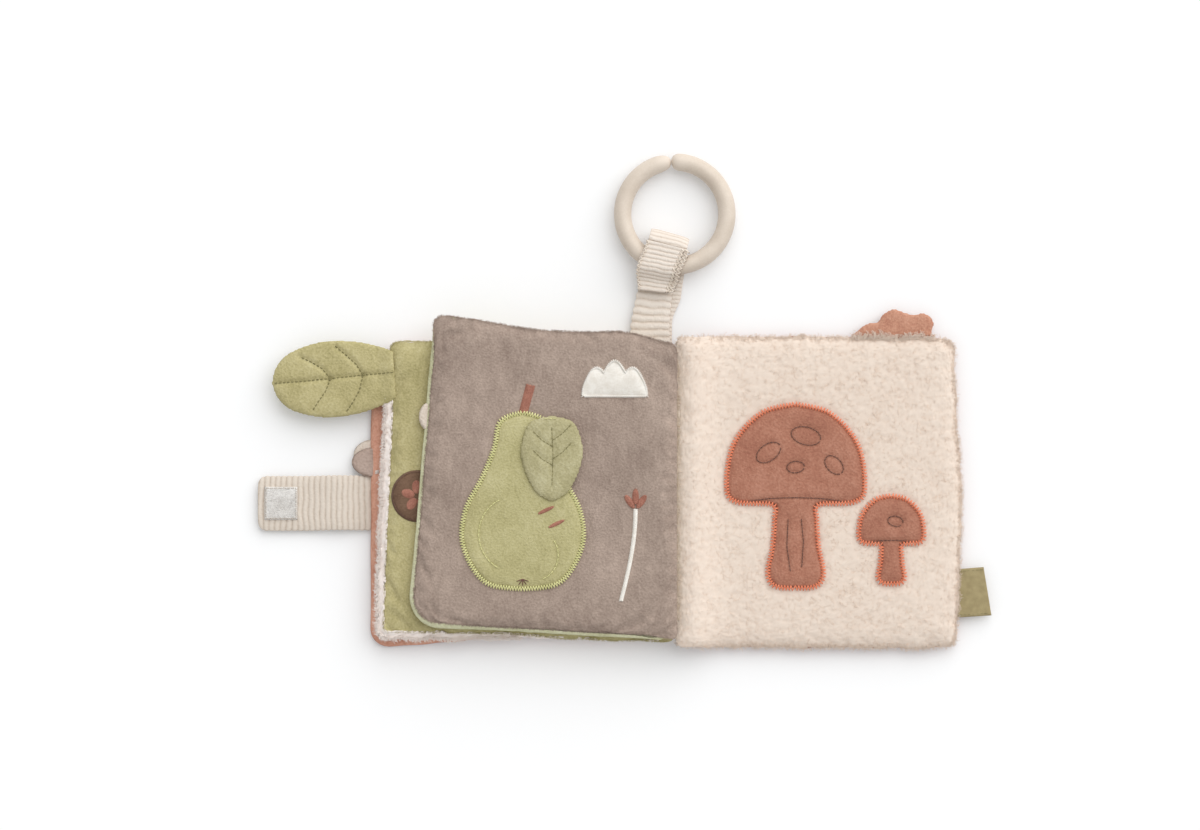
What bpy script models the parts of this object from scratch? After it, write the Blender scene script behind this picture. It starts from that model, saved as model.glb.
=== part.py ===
"""Crinkle cloth book lying open: padded covers and leaves, tabs, straps and a carrying ring."""

import math
from collections import namedtuple

import bmesh
import bpy
from mathutils import Matrix, Vector

# Gaps and cloth, in metres
TOUCH_GAP = 0.0003
CLOTH_WALL = 0.0008
CLOSED_CLEARANCE = 0.0005

# Panels: the gutter runs along Y at X zero, and the table is at Z zero
PAGE_WIDTH = 0.135
COVER_HEIGHT = 0.149
BACK_HEIGHT = 0.150
LEAF_HEIGHT = 0.144
COVER_MIDDLE_Y = 0.0008
LEAF_MIDDLE_Y = 0.001
COVER_THICKNESS = 0.0060
LEAF_THICKNESS = 0.0060
BACK_THICKNESS = 0.0085
CORNER_RADIUS = 0.009
SIDE_DRAW_IN = 0.0014
COVER_SEAM_SHARE = 0.34
LEAF_SEAM_SHARE = 0.50
BACK_SEAM_SHARE = 0.43

# Leaf 2 lies askew on the stack, and its first stretch drops into the gutter
LEAF_1_SKEW = 0.004
LEAF_2_TOP_WIDTH = 0.1095
LEAF_2_BOTTOM_WIDTH = 0.1200
LEAF_2_GUTTER_HEIGHT = 0.141
LEAF_2_TOP_RISE = 0.0135
LEAF_2_BOTTOM_RISE = 0.0075

# Pillow profile of a shell: how far in from the seam each ring lies, and its share of the height
SEAM_BAND = 0.0005
ROLL_INSETS = (0.0009, 0.0030, 0.0080, 0.0220)
UPPER_ROLL_SHARES = (0.52, 0.80, 0.94, 1.0)
LOWER_ROLL_SHARES = (0.62, 0.92, 1.0, 1.0)
TIGHTEST_CORNER_SHARE = 0.12
CORNER_STEPS = 4
SIDE_STEPS = 3

# Filling
FILM_THICKNESS = 0.0002
FILLING_INSET = 0.0120
WADDING_TOP_INSET = 0.0220
WADDING_SHOULDER = 0.0006

# Spine and the hems that hold the leaves in it
SPINE_LEFT = 0.0112
SPINE_RIGHT = 0.0030
SPINE_THICKNESS = 0.0020
WEB_THICKNESS = 0.0024
HEM_THICKNESS = 0.0016
HEM_END_SETBACK = 0.010
LEAF_PAD_START = 0.0060

# Appliques and embroidery
APPLIQUE_THICKNESS = 0.0009
APPLIQUE_EDGE_INSET_SHARE = 0.03
SATIN_THICKNESS = 0.0006
PEAR_X = -0.074
PEAR_BOTTOM_Y = -0.046
PEAR_HEIGHT = 0.084
PEAR_WIDTH = 0.058
PEAR_STEM_WIDTH = 0.0045
PEAR_STEM_HEIGHT = 0.014
PEAR_STEM_LEAN = 0.003
CLOUD_X = -0.030
CLOUD_Y = 0.046
CLOUD_WIDTH = 0.031
CLOUD_HEIGHT = 0.017
CLOUD_STEPS = 30
CLOUD_BUMPS = 3
CLOUD_DIP_SHARE = 0.70
CLOUD_ARCH_SHARE = 0.4
SPRIG_X = -0.027
SPRIG_BOTTOM_Y = -0.052
SPRIG_HEIGHT = 0.044
SPRIG_BOW = 0.007
SPRIG_LINE_WIDTH = 0.0018
SPRIG_STEPS = 10
MUSHROOM_X = 0.057
MUSHROOM_BOTTOM_Y = -0.046
MUSHROOM_HEIGHT = 0.088
MUSHROOM_WIDTH = 0.066
SMALL_MUSHROOM_X = 0.103
SMALL_MUSHROOM_BOTTOM_Y = -0.044
SMALL_MUSHROOM_HEIGHT = 0.042
SMALL_MUSHROOM_WIDTH = 0.031
BADGE_X = -0.1248
BADGE_Y = -0.0019
BADGE_DIAMETER = 0.025
BADGE_THICKNESS = 0.0005
BADGE_STEPS = 24

# Lift flap on the pear
FLAP_LENGTH = 0.042
FLAP_WIDTH = 0.030
FLAP_THICKNESS = 0.0026
FLAP_X = -0.060
FLAP_TOP_Y = 0.037

# Tabs round the edge
LEAF_TAB_LENGTH = 0.055
LEAF_TAB_WIDTH = 0.037
LEAF_TAB_THICKNESS = 0.0034
LEAF_TAB_Y = 0.0560
LEAF_TAB_TURN = math.radians(4)
LEAF_TAB_DROOP = math.radians(4)
LEAF_TAB_HINGE_GAP = 0.0011
ROUND_TAB_REACH = 0.0096
ROUND_TAB_WIDTH = 0.0166
ROUND_TAB_Y = 0.0167
ROUND_TAB_PLY = 0.0013
HALF_ROUND_STEPS = 10
SMALL_TAB_REACH = 0.0034
SMALL_TAB_WIDTH = 0.014
SMALL_TAB_Y = 0.0362
SMALL_TAB_THICKNESS = 0.0016
SCALLOP_TAB_X = 0.1047
SCALLOP_TAB_WIDTH = 0.0374
SCALLOP_TAB_REACH = 0.0125
SCALLOP_TAB_THICKNESS = 0.0030
SCALLOP_STEPS = 21
SCALLOP_WAVES = 3.5
SCALLOP_DIP_SHARE = 0.80
SCALLOP_ARCH_SHARE = 0.45
LABEL_REACH = 0.0150
LABEL_WIDTH = 0.0233
LABEL_Y = -0.0489
LABEL_SLANT = 0.0010
LABEL_THICKNESS = 0.0008

# Closing strap, which folds round the fore edge when the book is shut
STRAP_REACH = 0.0562
STRAP_WIDTH = 0.0264
STRAP_THICKNESS = 0.0018
STRAP_Y = -0.0055
STRAP_TURN = math.radians(100)
STRAP_END_RADIUS = 0.0045
STRAP_END_STEPS = 4
HOOK_PATCH_SIDE = 0.0158
HOOK_PATCH_SETBACK = 0.0034
HOOK_PATCH_THICKNESS = 0.0010
LOOP_PATCH_LENGTH = 0.0180
LOOP_PATCH_WIDTH = 0.0200
LOOP_PATCH_SETBACK = 0.0090

# Hanging strap, which leans to the right as it runs up to the ring
HANGER_X = -0.0118
HANGER_WIDTH = 0.0192
HANGER_THICKNESS = 0.0016
HANGER_RUN = 0.0500
HANGER_LEAN = math.radians(16)
HANGER_BASE_LENGTH = 0.0245
HANGER_TAPE_THICKNESS = 0.0008
HANGER_TAPE_LENGTH = 0.0050
HANGER_TAPE_WIDTH = 0.0130
HANGER_END_SETBACK = 0.0205
HANGER_SLOPE_RUN = 0.0050
HANGER_SLOPE_SHARES = (0.42, 0.90)
HANGER_STEPS = 6
FOLD_STEPS = 6

# Carrying ring: round section, nearly closed, the gap a little left of the top
RING_X = -0.0010
RING_RADIUS = 0.0251
RING_SECTION = 0.0084
RING_SETBACK = 0.0579
RING_GAP = 0.0012
RING_GAP_TURN = math.radians(94)
RING_END_TAPER_SHARES = (0.62, 0.86, 0.97)
RING_END_STEP = 0.0013
RING_STEPS = 36
RING_SIDES = 10

Panel = namedtuple(
    "Panel",
    "side gutter_x top_width bottom_width gutter_top gutter_bottom fore_top fore_bottom low seam high",
)

# Levels that the stack of panels sets
COVER_TOP = COVER_THICKNESS
LEAF_1_LOW = COVER_TOP + TOUCH_GAP
LEAF_1_TOP = LEAF_1_LOW + LEAF_THICKNESS
LEAF_2_LOW = LEAF_1_TOP + BADGE_THICKNESS + 2 * TOUCH_GAP
LEAF_2_TOP = LEAF_2_LOW + LEAF_THICKNESS
APPLIQUE_LOW = LEAF_2_TOP + TOUCH_GAP
FLAP_LOW = APPLIQUE_LOW + APPLIQUE_THICKNESS + TOUCH_GAP
FLAP_TOP = FLAP_LOW + FLAP_THICKNESS
BACK_MOTIF_TOP = BACK_THICKNESS + TOUCH_GAP + APPLIQUE_THICKNESS
GUTTER_AXIS_Z = (FLAP_TOP + BACK_MOTIF_TOP + CLOSED_CLEARANCE) / 2
LEAF_1_SEAM = LEAF_1_LOW + LEAF_SEAM_SHARE * LEAF_THICKNESS
LEAF_2_SEAM = LEAF_2_LOW + LEAF_SEAM_SHARE * LEAF_THICKNESS
COVER_SEAM = COVER_SEAM_SHARE * COVER_THICKNESS
BACK_SEAM = BACK_SEAM_SHARE * BACK_THICKNESS
COVER_HIGH_Y = COVER_MIDDLE_Y + COVER_HEIGHT / 2
BACK_LEFT_X = SPINE_RIGHT + TOUCH_GAP
BACK_HIGH_Y = BACK_HEIGHT / 2

FRONT_COVER = Panel(
    side=-1,
    gutter_x=-SPINE_LEFT - TOUCH_GAP,
    top_width=PAGE_WIDTH,
    bottom_width=PAGE_WIDTH,
    gutter_top=COVER_HIGH_Y,
    gutter_bottom=COVER_HIGH_Y - COVER_HEIGHT,
    fore_top=COVER_HIGH_Y,
    fore_bottom=COVER_HIGH_Y - COVER_HEIGHT,
    low=0,
    seam=COVER_SEAM,
    high=COVER_TOP,
)
LEAF_1 = Panel(
    side=-1,
    gutter_x=-LEAF_PAD_START,
    top_width=PAGE_WIDTH - LEAF_1_SKEW / 2,
    bottom_width=PAGE_WIDTH + LEAF_1_SKEW / 2,
    gutter_top=LEAF_MIDDLE_Y + LEAF_HEIGHT / 2,
    gutter_bottom=LEAF_MIDDLE_Y - LEAF_HEIGHT / 2,
    fore_top=LEAF_MIDDLE_Y + LEAF_HEIGHT / 2,
    fore_bottom=LEAF_MIDDLE_Y - LEAF_HEIGHT / 2,
    low=LEAF_1_LOW,
    seam=LEAF_1_SEAM,
    high=LEAF_1_TOP,
)
LEAF_2 = Panel(
    side=-1,
    gutter_x=-LEAF_PAD_START,
    top_width=LEAF_2_TOP_WIDTH,
    bottom_width=LEAF_2_BOTTOM_WIDTH,
    gutter_top=LEAF_MIDDLE_Y + LEAF_2_GUTTER_HEIGHT / 2,
    gutter_bottom=LEAF_MIDDLE_Y - LEAF_2_GUTTER_HEIGHT / 2,
    fore_top=LEAF_MIDDLE_Y + LEAF_2_GUTTER_HEIGHT / 2 + LEAF_2_TOP_RISE,
    fore_bottom=LEAF_MIDDLE_Y - LEAF_2_GUTTER_HEIGHT / 2 + LEAF_2_BOTTOM_RISE,
    low=LEAF_2_LOW,
    seam=LEAF_2_SEAM,
    high=LEAF_2_TOP,
)
BACK_COVER = Panel(
    side=1,
    gutter_x=BACK_LEFT_X,
    top_width=PAGE_WIDTH - SPINE_RIGHT,
    bottom_width=PAGE_WIDTH - SPINE_RIGHT,
    gutter_top=BACK_HIGH_Y,
    gutter_bottom=BACK_HIGH_Y - BACK_HEIGHT,
    fore_top=BACK_HIGH_Y,
    fore_bottom=BACK_HIGH_Y - BACK_HEIGHT,
    low=0,
    seam=BACK_SEAM,
    high=BACK_THICKNESS,
)


def clear_scene():
    """Remove what the file opens with."""
    for item in list(bpy.data.objects):
        bpy.data.objects.remove(item)


def linear(value):
    """One sRGB channel from 0 to 255 as linear light."""
    share = value / 255
    if share <= 0.04045:
        return share / 12.92
    return ((share + 0.055) / 1.055) ** 2.4


def finish_material(name, rgb, roughness):
    """A plain Principled material, shared by name."""
    material = bpy.data.materials.get(name)
    if material:
        return material
    material = bpy.data.materials.new(name)
    material.use_nodes = True
    shader = material.node_tree.nodes["Principled BSDF"]
    shader.inputs["Base Color"].default_value = (*[linear(channel) for channel in rgb], 1)
    shader.inputs["Roughness"].default_value = roughness
    shader.inputs["Metallic"].default_value = 0
    return material


FINISHES = {
    "rust_velour": ((180, 122, 104), 0.9),
    "green_velour": ((184, 176, 130), 0.9),
    "taupe_velour": ((163, 145, 132), 0.9),
    "cream_sherpa": ((231, 216, 205), 0.95),
    "cream_corduroy": ((222, 210, 197), 0.9),
    "cream_thread": ((228, 222, 214), 0.6),
    "rust_thread": ((178, 131, 112), 0.6),
    "brown_badge": ((113, 89, 75), 0.8),
    "olive_label": ((168, 157, 118), 0.7),
    "white_hook_tape": ((226, 223, 217), 0.7),
    "wadding": ((240, 238, 232), 0.95),
    "crinkle_film": ((205, 208, 212), 0.3),
    "beige_plastic": ((212, 200, 185), 0.45),
}

hinge_points = {}


def add_hinge(name, point, parent=None):
    """An empty on a joint's axis, which carries the pieces that turn there."""
    empty = bpy.data.objects.new(name, None)
    bpy.context.scene.collection.objects.link(empty)
    hinge_points[name] = Vector(point)
    empty.location = hinge_points[name]
    if parent:
        empty.parent = bpy.data.objects[parent]
        empty.location = hinge_points[name] - hinge_points[parent]
    return empty


def add_piece(name, bm, finish, hinge=None):
    """Turn a bmesh in world places into a named object, carried by its hinge."""
    mesh = bpy.data.meshes.new(name)
    if hinge:
        bmesh.ops.translate(bm, verts=bm.verts, vec=-hinge_points[hinge])
    bm.to_mesh(mesh)
    bm.free()
    mesh.shade_smooth()
    mesh.set_sharp_from_angle(angle=math.radians(40))
    piece = bpy.data.objects.new(name, mesh)
    bpy.context.scene.collection.objects.link(piece)
    if hinge:
        piece.parent = bpy.data.objects[hinge]
    rgb, roughness = FINISHES[finish]
    mesh.materials.append(finish_material(finish, rgb, roughness))
    return piece


def mix(low, high, share):
    """The value at a share of the way from low to high."""
    return low + (high - low) * share


def loft(rings, cap_start=True, cap_end=True):
    """Join closed loops of equal count into one skin, with flat caps at the ends."""
    bm = bmesh.new()
    loops = [[bm.verts.new(point) for point in ring] for ring in rings]
    count = len(loops[0])
    for lower, upper in zip(loops, loops[1:]):
        for k in range(count):
            after = (k + 1) % count
            bm.faces.new((lower[k], lower[after], upper[after], upper[k]))
    if cap_start:
        bm.faces.new(list(reversed(loops[0])))
    if cap_end:
        bm.faces.new(loops[-1])
    if cap_start and cap_end:
        bmesh.ops.recalc_face_normals(bm, faces=bm.faces)
    return bm


def panel_ring(panel, inset, z):
    """A loop of points round a panel, drawn in from its seam by inset."""
    width = max(panel.top_width, panel.bottom_width)
    height = panel.gutter_top - panel.gutter_bottom
    radius = max(CORNER_RADIUS - inset, CORNER_RADIUS * TIGHTEST_CORNER_SHARE)
    near = inset + radius
    centres = ((near, near), (width - near, near), (width - near, height - near), (near, height - near))
    arcs = []
    for quarter, (centre_a, centre_b) in enumerate(centres):
        start = math.pi + quarter * math.pi / 2
        arc = []
        for k in range(CORNER_STEPS + 1):
            angle = start + math.pi / 2 * k / CORNER_STEPS
            arc.append((centre_a + radius * math.cos(angle), centre_b + radius * math.sin(angle)))
        arcs.append(arc)
    flat = []
    for arc, following in zip(arcs, arcs[1:] + arcs[:1]):
        flat.extend(arc)
        for k in range(1, SIDE_STEPS):
            share = k / SIDE_STEPS
            flat.append((mix(arc[-1][0], following[0][0], share), mix(arc[-1][1], following[0][1], share)))
    points = []
    for a, b in flat:
        a_share = a / width
        b_share = b / height
        b_drawn = b_share + SIDE_DRAW_IN / height * math.sin(math.pi * a_share) * (1 - 2 * b_share)
        a_drawn = a_share * (1 - SIDE_DRAW_IN / width * math.sin(math.pi * b_share))
        reach = mix(panel.bottom_width, panel.top_width, b_drawn)
        gutter_y = mix(panel.gutter_bottom, panel.gutter_top, b_drawn)
        fore_y = mix(panel.fore_bottom, panel.fore_top, b_drawn)
        points.append(Vector((panel.gutter_x + panel.side * reach * a_drawn, mix(gutter_y, fore_y, a_drawn), z)))
    return points


def add_shell(name, panel, upper, finish, hinge=None):
    """One cloth face of a panel: a crowned skin from the seam to the middle, one wall thick."""
    way = 1 if upper else -1
    rim = panel.seam + way * TOUCH_GAP / 2
    flat = panel.high if upper else panel.low
    shares = UPPER_ROLL_SHARES if upper else LOWER_ROLL_SHARES
    band = rim + way * SEAM_BAND
    rings = [panel_ring(panel, 0, rim), panel_ring(panel, 0, band)]
    for inset, share in zip(ROLL_INSETS, shares):
        rings.append(panel_ring(panel, inset, mix(band, flat, share)))
    bm = loft(rings, cap_start=False)
    bm.faces.ensure_lookup_table()
    bm.normal_update()
    if bm.faces[-1].normal.z * way < 0:
        bmesh.ops.reverse_faces(bm, faces=bm.faces)
    piece = add_piece(name, bm, finish, hinge)
    wall = piece.modifiers.new("cloth wall", "SOLIDIFY")
    wall.thickness = CLOTH_WALL
    wall.offset = -1
    wall.use_even_offset = True
    return piece


def add_filling(prefix, panel, hinge=None):
    """The crinkle film and the wadding sheet inside a panel."""
    film_low = panel.low + CLOTH_WALL + TOUCH_GAP
    film_high = film_low + FILM_THICKNESS
    film = loft([panel_ring(panel, FILLING_INSET, film_low), panel_ring(panel, FILLING_INSET, film_high)])
    add_piece(prefix + "_crinkle_film", film, "crinkle_film", hinge)
    wadding_low = film_high + TOUCH_GAP
    wadding_high = panel.high - CLOTH_WALL - TOUCH_GAP
    wadding = loft([
        panel_ring(panel, FILLING_INSET, wadding_low),
        panel_ring(panel, FILLING_INSET, wadding_high - WADDING_SHOULDER),
        panel_ring(panel, WADDING_TOP_INSET, wadding_high),
    ])
    add_piece(prefix + "_wadding", wadding, "wadding", hinge)


def slab(outline, low, high, top_scale=1.0):
    """A flat piece with the given outline, its top edge drawn in a little."""
    middle_x = sum(x for x, y in outline) / len(outline)
    middle_y = sum(y for x, y in outline) / len(outline)
    rings = [[Vector((x, y, low)) for x, y in outline]]
    if top_scale < 1:
        rings.append([Vector((x, y, mix(low, high, 0.5))) for x, y in outline])
    top = [(mix(middle_x, x, top_scale), mix(middle_y, y, top_scale)) for x, y in outline]
    rings.append([Vector((x, y, high)) for x, y in top])
    return loft(rings)


def pillow(outline, low, high, edge_share, crown_scale_shares, crown_shares):
    """A soft flat piece, thin at its edge and crowned on both faces."""
    middle_x = sum(x for x, y in outline) / len(outline)
    middle_y = sum(y for x, y in outline) / len(outline)
    centre = (low + high) / 2
    half = (high - low) / 2
    levels = [(1.0, edge_share)] + list(zip(crown_scale_shares, crown_shares))
    rings = []
    for way in (-1, 1):
        half_rings = []
        for scale, share in levels:
            z = centre + way * half * share
            half_rings.append([
                Vector((mix(middle_x, x, scale), mix(middle_y, y, scale), z)) for x, y in outline
            ])
        rings.extend(reversed(half_rings) if way < 0 else half_rings)
    return loft(rings)


def mirrored_outline(width_shares, height_shares, width, height, steps):
    """Points round a shape that is the same left and right, smooth through its shares."""
    right = []
    last = len(width_shares) - 1
    for k in range(last * steps + 1):
        at = k / steps
        base = min(int(at), last - 1)
        right.append((
            smooth_share(width_shares, base, at - base) * width / 2,
            smooth_share(height_shares, base, at - base) * height,
        ))
    left = [(-x, y) for x, y in reversed(right[1:-1])]
    return right + left


def smooth_share(shares, base, along):
    """Catmull-Rom through four neighbouring shares."""
    before = shares[max(base - 1, 0)]
    start = shares[base]
    end = shares[base + 1]
    after = shares[min(base + 2, len(shares) - 1)]
    return 0.5 * (
        2 * start
        + (end - before) * along
        + (2 * before - 5 * start + 4 * end - after) * along**2
        + (3 * start - before - 3 * end + after) * along**3
    )


def moved(outline, x, y, turn=0.0):
    """An outline turned about its own zero and carried to a place."""
    cosine = math.cos(turn)
    sine = math.sin(turn)
    return [(x + a * cosine - b * sine, y + a * sine + b * cosine) for a, b in outline]


def box_outline(x0, y0, x1, y1):
    """Four corners."""
    return [(x0, y0), (x1, y0), (x1, y1), (x0, y1)]


def beam(profile, y0, y1):
    """A profile in X and Z drawn out along Y."""
    return loft([[Vector((x, y, z)) for x, z in profile] for y in (y0, y1)])


PEAR_WIDTH_SHARES = (0.0, 0.62, 0.97, 0.94, 0.66, 0.46, 0.36, 0.0)
PEAR_HEIGHT_SHARES = (0.0, 0.04, 0.24, 0.44, 0.63, 0.80, 0.95, 1.0)
LEAF_WIDTH_SHARES = (0.0, 0.52, 0.90, 1.0, 0.70, 0.0)
LEAF_HEIGHT_SHARES = (-1.0, -0.88, -0.62, -0.36, -0.08, 0.0)
MUSHROOM_WIDTH_SHARES = (0.0, 0.30, 0.40, 0.33, 0.30, 0.33, 0.86, 1.0, 0.90, 0.50, 0.0)
MUSHROOM_HEIGHT_SHARES = (0.0, 0.01, 0.08, 0.22, 0.38, 0.455, 0.47, 0.55, 0.78, 0.95, 1.0)
OUTLINE_STEPS = 3
TAB_EDGE_SHARE = 0.34
TAB_CROWN_SCALE_SHARES = (0.95, 0.72)
TAB_CROWN_SHARES = (0.78, 1.0)


def add_front_cover():
    """The cover that lies on the table, the spine strip and the web that the hems are sewn to."""
    add_shell("front_cover_lining", FRONT_COVER, True, "rust_velour")
    add_shell("front_cover_outer", FRONT_COVER, False, "rust_velour")
    add_filling("front_cover", FRONT_COVER)
    half = COVER_HEIGHT / 2
    strip = slab(
        box_outline(-SPINE_LEFT, COVER_MIDDLE_Y - half, SPINE_RIGHT, COVER_MIDDLE_Y + half), 0, SPINE_THICKNESS
    )
    add_piece("spine_strip", strip, "rust_velour")
    web_top = GUTTER_AXIS_Z - hem_sweep_radius() - TOUCH_GAP
    web_half = LEAF_HEIGHT / 2 - HEM_END_SETBACK / 2
    web = beam(
        box_outline(-WEB_THICKNESS / 2, SPINE_THICKNESS + TOUCH_GAP, WEB_THICKNESS / 2, web_top),
        LEAF_MIDDLE_Y - web_half,
        LEAF_MIDDLE_Y + web_half,
    )
    add_piece("binding_web", web, "rust_velour")


def hem_sweep_radius():
    """How far from the gutter axis the corner of leaf 2's hem swings."""
    reach = WEB_THICKNESS / 2
    drop = GUTTER_AXIS_Z - (LEAF_2_SEAM - HEM_THICKNESS / 2)
    return math.hypot(reach, drop)


def add_leaf_1():
    """The lower leaf: green face, sherpa reverse, and its hem up the web."""
    add_shell("leaf_1_face", LEAF_1, True, "green_velour", "leaf_1_hinge")
    add_shell("leaf_1_reverse", LEAF_1, False, "cream_sherpa", "leaf_1_hinge")
    add_filling("leaf_1", LEAF_1, "leaf_1_hinge")
    low = LEAF_1_SEAM - HEM_THICKNESS / 2
    outer = -LEAF_PAD_START + TOUCH_GAP
    inner = -WEB_THICKNESS / 2 - TOUCH_GAP
    top = GUTTER_AXIS_Z - hem_sweep_radius() - TOUCH_GAP
    profile = [
        (outer, low),
        (inner, low),
        (inner, top),
        (inner - HEM_THICKNESS, top),
        (inner - HEM_THICKNESS, low + HEM_THICKNESS),
        (outer, low + HEM_THICKNESS),
    ]
    half = LEAF_HEIGHT / 2 - HEM_END_SETBACK
    add_piece(
        "leaf_1_hem",
        beam(profile, LEAF_MIDDLE_Y - half, LEAF_MIDDLE_Y + half),
        "green_velour",
        "leaf_1_hinge",
    )


def add_leaf_2():
    """The upper leaf: taupe face, green reverse, and its flat hem."""
    add_shell("leaf_2_face", LEAF_2, True, "taupe_velour", "leaf_2_hinge")
    add_shell("leaf_2_reverse", LEAF_2, False, "green_velour", "leaf_2_hinge")
    add_filling("leaf_2", LEAF_2, "leaf_2_hinge")
    low = LEAF_2_SEAM - HEM_THICKNESS / 2
    half = LEAF_2_GUTTER_HEIGHT / 2 - HEM_END_SETBACK
    hem = beam(
        box_outline(-LEAF_PAD_START + TOUCH_GAP, low, -WEB_THICKNESS / 2, low + HEM_THICKNESS),
        LEAF_MIDDLE_Y - half,
        LEAF_MIDDLE_Y + half,
    )
    add_piece("leaf_2_hem", hem, "taupe_velour", "leaf_2_hinge")


def add_back_cover():
    """The right-hand cover with its sherpa face, hem and the loop patch in its outer face."""
    add_shell("back_cover_lining", BACK_COVER, True, "cream_sherpa", "back_cover_hinge")
    outer = add_shell("back_cover_outer", BACK_COVER, False, "rust_velour", "back_cover_hinge")
    add_filling("back_cover", BACK_COVER, "back_cover_hinge")
    left = WEB_THICKNESS / 2 + TOUCH_GAP
    low = BACK_SEAM - HEM_THICKNESS / 2
    top = GUTTER_AXIS_Z - hem_sweep_radius() - TOUCH_GAP
    profile = [
        (left, low),
        (BACK_LEFT_X - TOUCH_GAP, low),
        (BACK_LEFT_X - TOUCH_GAP, top),
        (left, top),
    ]
    half = LEAF_HEIGHT / 2 - HEM_END_SETBACK
    hem = beam(profile, -half, half)
    add_piece("back_cover_hem", hem, "cream_sherpa", "back_cover_hinge")
    right = fore_edge_x(BACK_COVER, STRAP_Y, LOOP_PATCH_WIDTH) - LOOP_PATCH_SETBACK
    half_patch = LOOP_PATCH_WIDTH / 2
    patch_outline = box_outline(right - LOOP_PATCH_LENGTH, STRAP_Y - half_patch, right, STRAP_Y + half_patch)
    patch = slab(patch_outline, 0, CLOTH_WALL)
    add_piece("closing_loop_patch", patch, "white_hook_tape", "back_cover_hinge")
    window_outline = box_outline(
        right - LOOP_PATCH_LENGTH - TOUCH_GAP,
        STRAP_Y - half_patch - TOUCH_GAP,
        right + TOUCH_GAP,
        STRAP_Y + half_patch + TOUCH_GAP,
    )
    cutter = add_piece(
        "patch_window_guide",
        slab(window_outline, -CLOTH_WALL, CLOTH_WALL + FILM_THICKNESS),
        "white_hook_tape",
        "back_cover_hinge",
    )
    cutter.hide_render = True
    cutter.display_type = "WIRE"
    window = outer.modifiers.new("patch window", "BOOLEAN")
    window.operation = "DIFFERENCE"
    window.object = cutter
    window.solver = "EXACT"


def add_badge():
    """The round badge sewn on leaf 1, half under leaf 2."""
    radius = BADGE_DIAMETER / 2
    angles = [k * math.tau / BADGE_STEPS for k in range(BADGE_STEPS)]
    disc = [(radius * math.cos(angle), radius * math.sin(angle)) for angle in angles]
    low = LEAF_1_TOP + TOUCH_GAP
    add_piece("badge", slab(moved(disc, BADGE_X, BADGE_Y), low, low + BADGE_THICKNESS), "brown_badge", "leaf_1_hinge")


def add_page_2_artwork():
    """The pear, its stem, the cloud and the sprig sewn on leaf 2."""
    pear = mirrored_outline(PEAR_WIDTH_SHARES, PEAR_HEIGHT_SHARES, PEAR_WIDTH, PEAR_HEIGHT, OUTLINE_STEPS)
    add_piece(
        "pear_applique",
        slab(moved(pear, PEAR_X, PEAR_BOTTOM_Y), APPLIQUE_LOW, APPLIQUE_LOW + APPLIQUE_THICKNESS,
             1 - APPLIQUE_EDGE_INSET_SHARE),
        "green_velour",
        "leaf_2_hinge",
    )
    stem_low_y = PEAR_BOTTOM_Y + PEAR_HEIGHT + TOUCH_GAP
    stem = [
        (PEAR_X - PEAR_STEM_WIDTH / 2, stem_low_y),
        (PEAR_X + PEAR_STEM_WIDTH / 2, stem_low_y),
        (PEAR_X + PEAR_STEM_WIDTH / 2 + PEAR_STEM_LEAN, stem_low_y + PEAR_STEM_HEIGHT),
        (PEAR_X - PEAR_STEM_WIDTH / 2 + PEAR_STEM_LEAN, stem_low_y + PEAR_STEM_HEIGHT),
    ]
    add_piece("pear_stem", slab(stem, APPLIQUE_LOW, APPLIQUE_LOW + SATIN_THICKNESS), "rust_thread", "leaf_2_hinge")
    add_piece(
        "cloud_embroidery",
        slab(moved(cloud_outline(), CLOUD_X, CLOUD_Y), APPLIQUE_LOW, APPLIQUE_LOW + SATIN_THICKNESS),
        "cream_thread",
        "leaf_2_hinge",
    )
    add_piece(
        "sprig_embroidery",
        slab(sprig_outline(), APPLIQUE_LOW, APPLIQUE_LOW + SATIN_THICKNESS),
        "cream_thread",
        "leaf_2_hinge",
    )


def cloud_outline():
    """A cloud with three bumps and a flat underside."""
    points = []
    for k in range(CLOUD_STEPS + 1):
        share = k / CLOUD_STEPS
        bump = mix(CLOUD_DIP_SHARE, 1, abs(math.sin(CLOUD_BUMPS * math.pi * share)))
        arch = math.sin(math.pi * share) ** CLOUD_ARCH_SHARE
        points.append((mix(-CLOUD_WIDTH, CLOUD_WIDTH, share) / 2, CLOUD_HEIGHT * arch * bump))
    return points


def sprig_outline():
    """A thin bowed line, as wide as a row of satin stitch."""
    left = []
    right = []
    for k in range(SPRIG_STEPS + 1):
        share = k / SPRIG_STEPS
        x = SPRIG_X + SPRIG_BOW * math.sin(math.pi * share / 2)
        y = SPRIG_BOTTOM_Y + SPRIG_HEIGHT * share
        left.append((x - SPRIG_LINE_WIDTH / 2, y))
        right.append((x + SPRIG_LINE_WIDTH / 2, y))
    return right + list(reversed(left))


def add_page_3_artwork():
    """The two mushrooms sewn on the sherpa face."""
    low = BACK_THICKNESS + TOUCH_GAP
    places = (
        ("large_mushroom_applique", MUSHROOM_X, MUSHROOM_BOTTOM_Y, MUSHROOM_WIDTH, MUSHROOM_HEIGHT),
        (
            "small_mushroom_applique",
            SMALL_MUSHROOM_X,
            SMALL_MUSHROOM_BOTTOM_Y,
            SMALL_MUSHROOM_WIDTH,
            SMALL_MUSHROOM_HEIGHT,
        ),
    )
    for name, x, y, width, height in places:
        outline = mirrored_outline(MUSHROOM_WIDTH_SHARES, MUSHROOM_HEIGHT_SHARES, width, height, OUTLINE_STEPS)
        piece = slab(moved(outline, x, y), low, low + APPLIQUE_THICKNESS, 1 - APPLIQUE_EDGE_INSET_SHARE)
        add_piece(name, piece, "rust_velour", "back_cover_hinge")


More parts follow.
